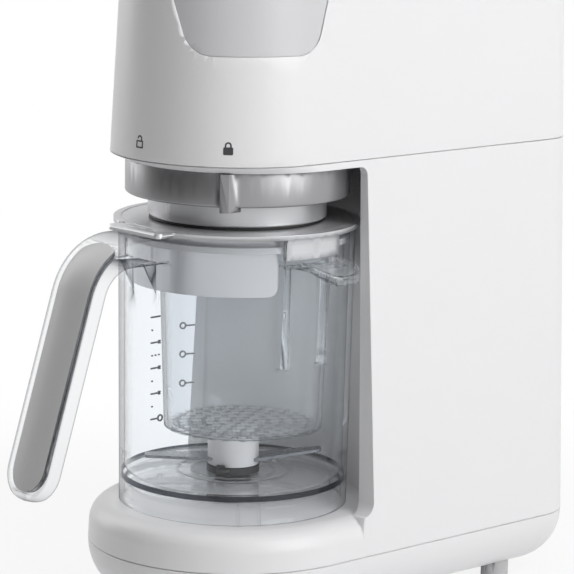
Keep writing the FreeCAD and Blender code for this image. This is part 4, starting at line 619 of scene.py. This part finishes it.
def select_only(obj: Piece | None = None) -> None:
    """Deselect everything and make one object active and selected.

    Args:
        obj: The object, or None to leave nothing selected.
    """
    bpy.ops.object.select_all(action="DESELECT")
    if obj is not None:
        obj.select_set(True)
        bpy.context.view_layer.objects.active = obj


def settle(obj: Piece, name: str, place: Matrix) -> Piece:
    """Move a finished object to its place, put the place into its mesh and name it.

    Args:
        obj: The mesh object.
        name: Its final name.
        place: Where its own frame goes.

    Returns:
        The same object.
    """
    select_only(obj)
    obj.matrix_world = place @ obj.matrix_world
    bpy.ops.object.transform_apply(location=True, rotation=True, scale=True)
    obj.name = name
    return obj


def shifted(obj: Piece, x: float, z: float) -> Piece:
    """Return a flat piece, moved in the XZ plane."""
    return settle(obj, obj.name, Matrix.Translation((x, 0.0, z)))


def turned_out(centre: Vector, azimuth: float, reach: float) -> Matrix:
    """Place a frame beside an upright axis.

    Args:
        centre: The point of the axis at the frame's height.
        azimuth: Degrees from the nose.
        reach: Distance from the axis.

    Returns:
        A frame whose -Y points away from the axis.
    """
    turn = Matrix.Rotation(math.radians(azimuth), 4, "Z")
    return Matrix.Translation(centre) @ turn @ Matrix.Translation((0.0, -reach, 0.0))


def joined(objects: Sequence[Piece]) -> Piece:
    """Join several objects.

    Args:
        objects: The mesh objects.

    Returns:
        The first of them, which now holds them all.
    """
    select_only(objects[0])
    for obj in objects[1:]:
        obj.select_set(True)
    bpy.ops.object.join()
    return objects[0]


def edit_all(action: Callable[[], Any]) -> None:
    """Run an operator in edit mode on the whole of the active mesh.

    Args:
        action: Calls the operator.
    """
    bpy.ops.object.mode_set(mode="EDIT")
    bpy.ops.mesh.select_all(action="SELECT")
    action()
    bpy.ops.object.mode_set(mode="OBJECT")


def face_outwards() -> None:
    """Turn all faces of the active mesh outwards."""
    edit_all(lambda: bpy.ops.mesh.normals_make_consistent(inside=False))


def thicken(depth: float) -> None:
    """Give the active flat mesh a thickness along Y.

    Args:
        depth: The thickness.
    """
    extrude = {"value": (0.0, depth, 0.0)}
    edit_all(lambda: bpy.ops.mesh.extrude_region_move(TRANSFORM_OT_translate=extrude))
    face_outwards()


def thin_plate(width: float, height: float, depth: float, corner: float = 0.0) -> Piece:
    """Model a thin plate, lying in the XZ plane and centred on the origin.

    Args:
        width: Size along X.
        height: Size along Z.
        depth: Thickness along Y.
        corner: Radius of its corners, or 0 for sharp ones.

    Returns:
        The plate.
    """
    select_only()
    bpy.ops.mesh.primitive_plane_add(size=1.0, rotation=(math.pi / 2, 0.0, 0.0))
    plate = bpy.context.active_object
    plate.scale = (width, height, 1.0)
    bpy.ops.object.transform_apply(location=False, rotation=True, scale=True)
    if corner > 0.0:
        edit_all(lambda: bpy.ops.mesh.bevel(offset=corner, segments=CORNER_STEPS, affect="VERTICES"))
    thicken(depth)
    return plate


def thin_hoop(radius: float, width: float, depth: float, half: bool) -> Piece:
    """Model a thin flat hoop or half hoop in the XZ plane, centred on the origin.

    Args:
        radius: Radius of its middle line.
        width: Width of its band.
        depth: Thickness along Y.
        half: True for the upper half only.

    Returns:
        The hoop.
    """
    select_only()
    bpy.ops.mesh.primitive_circle_add(
        vertices=HOOP_STEPS, radius=radius + width / 2, fill_type="NGON", rotation=(math.pi / 2, 0.0, 0.0),
    )
    hoop = bpy.context.active_object
    bpy.ops.object.transform_apply(location=False, rotation=True, scale=False)

    def cut_out() -> None:
        """Cut the middle out of the disc."""
        bpy.ops.mesh.inset(thickness=width, depth=0.0)
        bpy.ops.mesh.delete(type="FACE")

    edit_all(cut_out)
    if half:
        upwards = {"plane_co": (0.0, 0.0, 0.0), "plane_no": (0.0, 0.0, 1.0)}
        edit_all(lambda: bpy.ops.mesh.bisect(clear_inner=True, **upwards))
    thicken(depth)
    return hoop


@dataclass
class Frame:
    """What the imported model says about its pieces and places.

    Attributes:
        joints: Its joints by name.
        slots: The record's material slot of each node.
        bodies: The body of each node.
        nodes: The mesh object of each node.
    """

    joints: dict[str, dict[str, Any]]
    slots: dict[str, str]
    bodies: dict[str, str]
    nodes: dict[str, Piece]

    @classmethod
    def read(cls, loaded: dict[str, Any]) -> Frame:
        """Read a loaded model.

        Args:
            loaded: What the loader gave back.

        Returns:
            The frame.
        """
        record = loaded["record"]
        joints = {joint["name"]: joint for joint in loaded["joints"]}
        slots = {part["node"]: part["material_slot"] for part in record["subparts"]}
        members = record["behaviour"]["bodies"]
        bodies = {node: body for body, nodes in members.items() for node in nodes}
        return cls(joints, slots, bodies, loaded["nodes"])

    def axis(self, z: float = 0.0) -> Vector:
        """Return the point of the jug's axis at a height above the floor."""
        x, y, _ = self.joints["lock_turn"]["pos_m"]
        return Vector((x, y, z))

    def low(self, node: str) -> Vector:
        """Return a node's lowest corner."""
        return Vector(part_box(node)[0])

    def high(self, node: str) -> Vector:
        """Return a node's highest corner."""
        return Vector(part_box(node)[1])


@dataclass
class Assembly:
    """A group of pieces that share a purpose.

    Attributes:
        frame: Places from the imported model.
        shown: Nodes that show, with their finishes.
        hidden: Nodes inside closed housings, with their finishes.
        crease: Degrees between faces that stay a sharp edge.
    """

    frame: Frame
    shown: dict[str, Finish] = field(default_factory=dict)
    hidden: dict[str, Finish] = field(default_factory=dict)
    crease: float = 28.0

    def smooth_copy(self, node: str, finish: Finish) -> None:
        """Model a smooth-shaded copy of a node and let it stand for the node.

        Args:
            node: The node's name.
            finish: What the copy is made of.
        """
        select_only(self.frame.nodes[node])
        bpy.ops.object.duplicate()
        copy = bpy.context.active_object
        copy.parent = None
        copy.name = node + "_shown"
        edit_all(lambda: bpy.ops.mesh.remove_doubles(threshold=WELD * MM))
        bpy.ops.object.shade_smooth_by_angle(angle=math.radians(self.crease))
        bpy.ops.object.modifier_add(type="WEIGHTED_NORMAL")
        even = copy.modifiers[-1]
        even.mode = "FACE_AREA"
        even.weight = AREA_WEIGHT
        even.keep_sharp = True
        bpy.ops.object.modifier_apply(modifier=even.name)
        self.carry(copy, finish, self.frame.bodies[node], self.frame.slots[node])
        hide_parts(node)

    def carry(self, piece: Piece, finish: Finish, body: str, slot: str) -> None:
        """Dress a piece and let it ride on a body.

        Args:
            piece: The piece.
            finish: What it is made of.
            body: The body that carries it.
            slot: The record's material slot; not used.
        """
        dressed_with(piece, finish)
        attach(piece, body)
        LOG.info("%s rides on %s", piece.name, body)

    def build(self) -> None:
        """Build what shows and dress what stays inside."""
        for node, finish in self.shown.items():
            self.smooth_copy(node, finish)
        for node, finish in self.hidden.items():
            dressed_with(self.frame.nodes[node], finish)
            LOG.info("%s dressed", node)


@dataclass(frozen=True)
class Padlock:
    """A generic padlock sign in the XZ plane, centred on its case.

    Attributes:
        width: Width of the case, in mm.
        depth: Thickness of the ink, most of which lies under the surface, in mm.
        case: Height of the case, as a share of its width, as all that follow are.
        corner: Radius of a filled case's corners.
        outline: Width of a hollow case's band.
        bow: Radius of the middle of the shackle's bow.
        band: Width of the shackle.
        leg: Length of the shackle's legs.
        leg_rise: Height of the middle of the legs.
        bow_rise: Height of the middle of the bow.
    """

    width: float = 4.6
    depth: float = 0.5
    case: float = 0.78
    corner: float = 0.12
    outline: float = 0.14
    bow: float = 0.27
    band: float = 0.16
    leg: float = 0.22
    leg_rise: float = 0.48
    bow_rise: float = 0.57

    def hollow_case(self) -> Piece:
        """Model the outline of an open lock's case.

        Returns:
            The outline.
        """
        width = self.width * MM
        height = width * self.case
        band = width * self.outline
        inner = height - 2 * band
        sides = []
        for end in (1.0, -1.0):
            level = thin_plate(width, band, self.depth * MM)
            sides.append(shifted(level, 0.0, end * (height - band) / 2))
            upright = thin_plate(band, inner, self.depth * MM)
            sides.append(shifted(upright, end * (width - band) / 2, 0.0))
        return joined(sides)

    def model(self, closed: bool) -> Piece:
        """Model the sign.

        Args:
            closed: True for the closed, filled lock, False for the open one, whose shackle has one leg.

        Returns:
            The sign.
        """
        size = self.width * MM
        depth = self.depth * MM
        bow = shifted(thin_hoop(size * self.bow, size * self.band, depth, True), 0.0, size * self.bow_rise)
        legs = []
        for side in (1.0, -1.0) if closed else (1.0,):
            leg = thin_plate(size * self.band, size * self.leg, depth)
            legs.append(shifted(leg, side * size * self.bow, size * self.leg_rise))
        if closed:
            case = thin_plate(size, size * self.case, depth, size * self.corner)
        else:
            case = self.hollow_case()
        return joined([case, bow] + legs)


@dataclass
class Housing(Assembly):
    """Base pan, main body, head cover, feet and what is fixed in them.

    Attributes:
        sign: The lock signs' shape.
        sign_height: Height of the lock signs above the head's seam, in mm.
        sign_places: Degrees from the nose's tip to the open sign and to the closed one.
        sign_proud: How far the ink stands out, in mm.
        draft: Degrees that the head's sides lean inwards.
        lean: Degrees that the nose's axis leans forwards.
    """

    sign: Padlock = Padlock()
    sign_height: float = 8.0
    sign_places: tuple[float, float] = (0.8, 47.0)
    sign_proud: float = 0.12
    draft: float = 3.65
    lean: float = 1.2

    def __post_init__(self) -> None:
        """List the pieces."""
        self.shown = {
            "base_pan": Finish.SHELL,
            "main_body": Finish.SHELL,
            "head_cover": Finish.SHELL,
            "control_fascia": Finish.FASCIA,
            "rubber_feet": Finish.FOOT,
            "cord_gland": Finish.DARK,
        }
        self.hidden = {"base_screws": Finish.ZINC}

    def nose_place(self, azimuth: float) -> Matrix:
        """Place a sign on the nose.

        Args:
            azimuth: Degrees from the nose's tip.

        Returns:
            A frame whose XZ plane lies against the surface and whose -Y points outwards.
        """
        low = self.frame.low("head_cover")
        up = self.sign_height * MM
        axis_x = self.frame.axis().x
        half = axis_x - low.x
        radius = half - up * math.tan(math.radians(self.draft)) + self.sign_proud * MM
        centre = Vector((axis_x, low.y + half - up * math.tan(math.radians(self.lean)), low.z + up))
        return turned_out(centre, azimuth, radius) @ Matrix.Rotation(math.radians(-self.draft), 4, "X")

    def build(self) -> None:
        """Build the shells and print the lock signs."""
        super().build()
        for name, azimuth in zip(("open_lock_sign", "closed_lock_sign"), self.sign_places):
            sign = settle(self.sign.model(name.startswith("closed")), name, self.nose_place(azimuth))
            self.carry(sign, Finish.INK, "housing", "seal_black")


@dataclass
class Controls(Assembly):
    """Dial, buttons and their board."""

    def __post_init__(self) -> None:
        """List the pieces."""
        self.shown = {"dial": Finish.SHELL, "blend_button": Finish.LIGHT, "steam_button": Finish.LIGHT}
        self.hidden = {"control_board": Finish.BOARD}


@dataclass
class LockHead(Assembly):
    """Lock ring, collar and its gasket."""

    def __post_init__(self) -> None:
        """List the pieces."""
        self.shown = {
            "lock_ring": Finish.RING,
            "seal_collar": Finish.SILVER,
            "collar_gasket": Finish.BLACK_SEAL,
        }


class Mark(Enum):
    """The shapes of the marks printed on the jug's left side."""

    BAR = "bar"
    DOT = "dot"
    DOTS = "dots"
    FORK = "fork"
    HOOP = "hoop"


@dataclass(frozen=True)
class ScalePrint:
    """The printed marks of a scale, with sizes in mm.

    Attributes:
        width: Length of a bar.
        line: Width of the lines.
        corner: Radius of their corners.
        depth: Thickness of the ink, most of which lies in the wall.
        dot: Length of a dot.
        stem: Length of the stem of a fork or a hoop.
        prong: Length of a fork's prongs.
        prong_reach: Distance of the prongs from the mark's middle.
        prong_tilt: Degrees that the prongs are turned from level.
        hoop: Radius of a hoop's middle line.
    """

    width: float = 6.6
    line: float = 0.8
    corner: float = 0.24
    depth: float = 0.5
    dot: float = 1.0
    stem: float = 5.28
    prong: float = 2.2
    prong_reach: float = 2.64
    prong_tilt: float = 52.0
    hoop: float = 1.5

    def bar(self, length: float, x: float, tilt: float = 0.0) -> Piece:
        """Model a printed line.

        Args:
            length: Its length in mm.
            x: Where its middle goes, in mm.
            tilt: Degrees that it is turned from level.

        Returns:
            The line.
        """
        made = thin_plate(length * MM, self.line * MM, self.depth * MM, self.corner * MM)
        turn = Matrix.Rotation(math.radians(tilt), 4, "Y")
        return settle(made, "line", Matrix.Translation((x * MM, 0.0, 0.0)) @ turn)

    def mark(self, shape: Mark) -> Piece:
        """Model one printed mark in the XZ plane, centred on the origin.

        Args:
            shape: Which mark.

        Returns:
            The mark.
        """
        half = self.width / 2
        if shape is Mark.BAR:
            return self.bar(self.width, 0.0)
        if shape is Mark.DOT:
            return self.bar(self.dot, half - self.dot)
        if shape is Mark.DOTS:
            return joined([self.bar(self.dot, x) for x in (self.dot - half, 0.0, half - self.dot)])
        stem = self.bar(self.stem, half - self.stem / 2)
        if shape is Mark.FORK:
            tilts = (self.prong_tilt, -self.prong_tilt)
            return joined([stem] + [self.bar(self.prong, -self.prong_reach, tilt) for tilt in tilts])
        hoop = thin_hoop(self.hoop * MM, self.line * MM, self.depth * MM, False)
        return joined([stem, shifted(hoop, -half * MM, 0.0)])


@dataclass
class JugUnit(Assembly):
    """Jug with handle, lid, basket and seals, and the two scales printed on the jug's left side.

    Attributes:
        crease: Degrees between faces that stay a sharp edge.
        printed: The scales' marks.
        scale: Shapes of the marks of the main scale, from the lowest.
        scale_azimuth: Degrees from the nose to the middle of the main scale.
        scale_low: Height of its lowest mark above the jug's foot, in mm.
        scale_pitch: Distance between its marks, in mm.
        side_azimuth: Degrees from the nose to the second scale, which has hoops only, turned the other way.
        side_heights: Heights of its marks above the jug's foot, in mm.
        ink_proud: How far the ink stands out from the wall, in mm.
        foot_radius: Radius of the jug at its foot, in mm.
        draft: Degrees that the jug's wall opens upwards.
        grip_start: Distance from the jug's axis beyond which its faces are the handle's, in mm.
        floor_band: Bottom, top, radius and thickness of the painted dark line at the floor's edge, in mm
            from
        the jug's foot and axis.
        band_crease: Degrees between faces of that line that stay a sharp edge.
        key_place: Degrees from the nose to the seal's upright key, its distance from the axis and its
            height above the foot, in mm.
        key_size: Its width, height, thickness and the radius of its corners, in mm.
    """

    crease: float = 52.0
    printed: ScalePrint = ScalePrint()
    scale: tuple[Mark, ...] = (
        Mark.HOOP, Mark.DOT, Mark.FORK, Mark.DOT, Mark.FORK, Mark.DOTS, Mark.FORK, Mark.DOT, Mark.BAR,
    )
    scale_azimuth: float = -86.6
    scale_low: float = 29.6
    scale_pitch: float = 6.55
    side_azimuth: float = -107.0
    side_heights: tuple[float, ...] = (46.0, 61.0, 75.7)
    ink_proud: float = 0.06
    foot_radius: float = 56.0
    draft: float = 0.664
    grip_start: float = 60.0
    floor_band: tuple[float, float, float, float] = (11.6, 14.2, 55.0, 0.6)
    band_crease: float = 40.0
    key_place: tuple[float, float, float] = (25.0, 15.2, 14.0)
    key_size: tuple[float, float, float, float] = (4.4, 5.3, 0.9, 0.3)

    def __post_init__(self) -> None:
        """List the pieces."""
        self.shown = {
            "jug": Finish.CLEAR,
            "handle_insert": Finish.GRIP,
            "jug_lid": Finish.SILVER,
            "lid_gasket": Finish.PALE_SEAL,
            "steam_basket": Finish.BASKET,
            "jug_bush": Finish.DARK,
            "hub_seal": Finish.BLACK_SEAL,
        }

    def above_foot(self, height: float) -> Vector:
        """Return the point of the jug's axis at a height above its foot, in mm."""
        return self.frame.axis(self.frame.low("jug").z + height * MM)

    def wall_place(self, azimuth: float, height: float) -> Matrix:
        """Place a mark on the jug's wall.

        Args:
            azimuth: Degrees from the nose.
            height: Height above the jug's foot, in mm.

        Returns:
            A frame whose XZ plane lies against the wall and whose -Y points outwards.
        """
        radius = self.foot_radius + height * math.tan(math.radians(self.draft)) + self.ink_proud
        return turned_out(self.above_foot(height), azimuth, radius * MM)

    def dress_handle(self, jug: Piece) -> None:
        """Give the faces of the jug's handle their own finish.

        Args:
            jug: The copy of the jug.
        """
        dressed_with(jug, Finish.CLEAR, Finish.CLEAR_GRIP)
        front = self.frame.axis().y - self.grip_start * MM
        for face in jug.data.polygons:
            if face.center.y < front:
                face.material_index = 1

    def floor_edge(self) -> Piece:
        """Model a painted dark line where the jug's floor meets its wall, in place of the shade refraction
        draws there.

        Returns:
            The line, a thin band in the wall.
        """
        low, high, radius, thick = self.floor_band
        select_only()
        bpy.ops.mesh.primitive_cylinder_add(
            vertices=BAND_STEPS, radius=radius * MM, depth=(high - low) * MM, end_fill_type="NOTHING",
        )
        band = bpy.context.active_object
        bpy.ops.object.modifier_add(type="SOLIDIFY")
        wall = band.modifiers[-1]
        wall.thickness = thick * MM
        bpy.ops.object.modifier_apply(modifier=wall.name)
        face_outwards()
        bpy.ops.object.shade_smooth_by_angle(angle=math.radians(self.band_crease))
        return settle(band, "painted_jug_floor_edge", Matrix.Translation(self.above_foot((low + high) / 2)))

    def seal_key(self) -> Piece:
        """Model the upright key of the hub's seal.

        Returns:
            The key.
        """
        azimuth, reach, height = self.key_place
        key = thin_plate(*(value * MM for value in self.key_size))
        middle = self.above_foot(height + self.key_size[1] / 2)
        return settle(key, "seal_key", turned_out(middle, azimuth, reach * MM))

    def print_scales(self) -> None:
        """Print the main scale and the second one."""
        places = []
        for i, shape in enumerate(self.scale):
            places.append((shape, self.scale_azimuth, self.scale_low + i * self.scale_pitch, 0.0))
        for height in self.side_heights:
            places.append((Mark.HOOP, self.side_azimuth, height, math.pi))
        for i, (shape, azimuth, height, turn) in enumerate(places):
            place = self.wall_place(azimuth, height) @ Matrix.Rotation(turn, 4, "Y")
            made = settle(self.printed.mark(shape), f"scale_mark_{i}", place)
            self.carry(made, Finish.SCALE_INK, "jug_unit", "seal_grey")

    def build(self) -> None:
        """Build the jug's pieces and print its scales."""
        super().build()
        self.dress_handle(bpy.data.objects["jug_shown"])
        self.carry(self.seal_key(), Finish.BLACK_SEAL, "jug_unit", self.frame.slots["hub_seal"])
        # painted shade: the dark band at the jug floor's edge
        self.carry(self.floor_edge(), Finish.FLOOR_EDGE_SHADE, "jug_unit", self.frame.slots["jug"])
        self.print_scales()


@dataclass
class BladeUnit(Assembly):
    """Hub, blade and shaft that spin in the jug."""

    def __post_init__(self) -> None:
        """List the pieces."""
        self.shown = {"blade_hub": Finish.LIGHT, "blade": Finish.STEEL, "blade_shaft": Finish.STEEL}


@dataclass
class Drive(Assembly):
    """Motor, belt and spindle in the base."""

    def __post_init__(self) -> None:
        """List the pieces."""
        self.shown = {"drive_dog": Finish.DARK}
        self.hidden = {
            "motor_bracket": Finish.ZINC,
            "motor": Finish.ZINC,
            "motor_shaft": Finish.STEEL,
            "motor_pulley": Finish.DARK,
            "drive_belt": Finish.BLACK_SEAL,
            "driven_pulley": Finish.DARK,
            "drive_spindle": Finish.STEEL,
            "spindle_bush": Finish.BRONZE,
            "pan_bush": Finish.BRONZE,
        }


@dataclass
class SteamSide(Assembly):
    """Tank, boiler, hoses and nozzle."""

    def __post_init__(self) -> None:
        """List the pieces."""
        self.shown = {"tank_lid": Finish.SHELL, "water_tank": Finish.TANK, "steam_nozzle": Finish.LIGHT}
        self.hidden = {
            "boiler": Finish.ALLOY,
            "thermostat": Finish.DARK,
            "water_tube": Finish.HOSE,
            "steam_tube": Finish.HOSE,
            "nozzle_arm": Finish.LIGHT,
            "tank_hinge_pin": Finish.STEEL,
        }


@dataclass(frozen=True)
class Softbox:
    """A rectangular lamp that faces the machine.

    Attributes:
        name: Name of the lamp.
        azimuth: Degrees from the nose, towards +X.
        elevation: Degrees above the machine's middle.
        distance: How far away it stands, in metres.
        size: Its width and height, in metres.
        watts: Its power.
    """

    name: str
    azimuth: float
    elevation: float
    distance: float
    size: tuple[float, float]
    watts: float

    def build(self, target: Vector) -> None:
        """Stand the lamp.

        Args:
            target: The point that it faces.
        """
        a = math.radians(self.azimuth)
        e = math.radians(self.elevation)
        out = Vector((math.sin(a) * math.cos(e), -math.cos(a) * math.cos(e), math.sin(e)))
        data = bpy.data.lights.new(self.name, "AREA")
        data.shape = "RECTANGLE"
        data.size, data.size_y = self.size
        data.energy = self.watts
        lamp = bpy.data.objects.new(self.name, data)
        lamp.location = target + out * self.distance
        lamp.rotation_euler = out.to_track_quat("Z", "Y").to_euler()
        bpy.context.collection.objects.link(lamp)


@dataclass
class Studio:
    """Floor, lamps, world and camera.

    Attributes:
        frame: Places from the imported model.
        eye: The camera's place from the jug's axis at the rim, in mm.
        yaw: Degrees that the camera is turned about the vertical.
        pitch: Degrees that it looks down.
        roll: Degrees that it is tilted.
        focal_pixels: Focal length in picture pixels.
        sight: How far the camera sees, in metres.
        floor_size: Side of the floor, in metres.
        floor_drop: How far the floor lies below the feet, in mm.
        world_light: Strength of the even light.
        card: The dark card's azimuth in degrees, and its distance, width and height in metres.
        middle: Height of the machine's middle, which the lamps face, in metres.
        lamps: The lamps.
    """

    frame: Frame
    eye: tuple[float, float, float] = (1045.2, -924.7, 227.8)
    yaw: float = 47.48
    pitch: float = 10.55
    roll: float = 1.17
    focal_pixels: float = 2912.7
    sight: float = 50.0
    floor_size: float = 12.0
    floor_drop: float = 0.2
    world_light: float = 0.27
    card: tuple[float, float, float, float] = (-12.0, 1.2, 2.2, 1.2)
    middle: float = 0.17
    lamps: tuple[Softbox, ...] = (
        Softbox("right_softbox", 100.0, 30.0, 1.6, (1.0, 1.4), 17.0),
        Softbox("left_softbox", -78.0, 25.0, 1.6, (0.8, 1.4), 7.0),
        Softbox("top_softbox", 30.0, 75.0, 1.5, (1.2, 1.2), 5.0),
    )

    def floor(self) -> None:
        """Lay the pale floor."""
        select_only()
        bpy.ops.mesh.primitive_plane_add(size=self.floor_size, location=(0.0, 0.0, -self.floor_drop * MM))
        floor = bpy.context.active_object
        floor.name = "studio_floor"
        floor.data.materials.append(PaleFloor("studio_floor").material())

    def world(self) -> None:
        """Set a white background and a soft even light."""
        world = bpy.data.worlds.new("studio")
        bpy.context.scene.world = world
        shader = Shader(world)
        light, white = (
            shader.node("ShaderNodeBackground", None, {"Color": (*WHITE, 1.0), "Strength": strength})
            for strength in (self.world_light, 1.0)
        )
        shader.finish(shader.mixed(shader.seen_directly(), light, white), "ShaderNodeOutputWorld")

    def dark_card(self) -> None:
        """Stand a dark card before the nose, which shades it and shows in what is glossy."""
        azimuth, reach, width, height = self.card
        a = math.radians(azimuth)
        place = (math.sin(a) * reach, -math.cos(a) * reach, height / 2)
        select_only()
        bpy.ops.mesh.primitive_plane_add(size=1.0, location=place)
        card = bpy.context.active_object
        card.name = "studio_card"
        card.rotation_euler = (math.pi / 2, 0.0, a)
        card.scale = (width, height, 1.0)
        bpy.ops.object.transform_apply(location=True, rotation=True, scale=True)
        card.data.materials.append(DarkCard("studio_card").material())
        card.visible_camera = False
        card.visible_transmission = False

    def camera(self) -> None:
        """Stand the camera where the photograph was taken from."""
        data = bpy.data.cameras.new("photo_camera")
        data.sensor_width = SENSOR_MM
        data.lens = self.focal_pixels * SENSOR_MM / PICTURE_PIXELS
        data.clip_end = self.sight
        camera = bpy.data.objects.new("photo_camera", data)
        bpy.context.collection.objects.link(camera)
        rim = self.frame.axis(self.frame.high("jug").z)
        turn = Matrix.Rotation(math.radians(self.yaw), 4, "Z")
        tip = Matrix.Rotation(math.radians(90.0 - self.pitch), 4, "X")
        roll = Matrix.Rotation(math.radians(self.roll), 4, "Z")
        camera.matrix_world = Matrix.Translation(rim + Vector(self.eye) * MM) @ turn @ tip @ roll
        bpy.context.scene.camera = camera

    def build(self) -> None:
        """Set the stage."""
        bpy.context.scene.view_settings.view_transform = "Standard"
        bpy.context.scene.cycles.transparent_max_bounces = CLEAR_FACES
        self.world()
        self.floor()
        self.dark_card()
        for lamp in self.lamps:
            lamp.build(Vector((0.0, 0.0, self.middle)))
        self.camera()


def main() -> None:
    """Load the frame, build every assembly and the studio."""
    logging.basicConfig(level=logging.INFO, format="%(name)s: %(message)s")
    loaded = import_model()
    frame = Frame.read(loaded)
    for kind in (Housing, Controls, LockHead, JugUnit, BladeUnit, Drive, SteamSide):
        kind(frame).build()
        LOG.info("%s built", kind.__name__)
    Studio(frame).build()


if __name__ == "__main__":
    main()
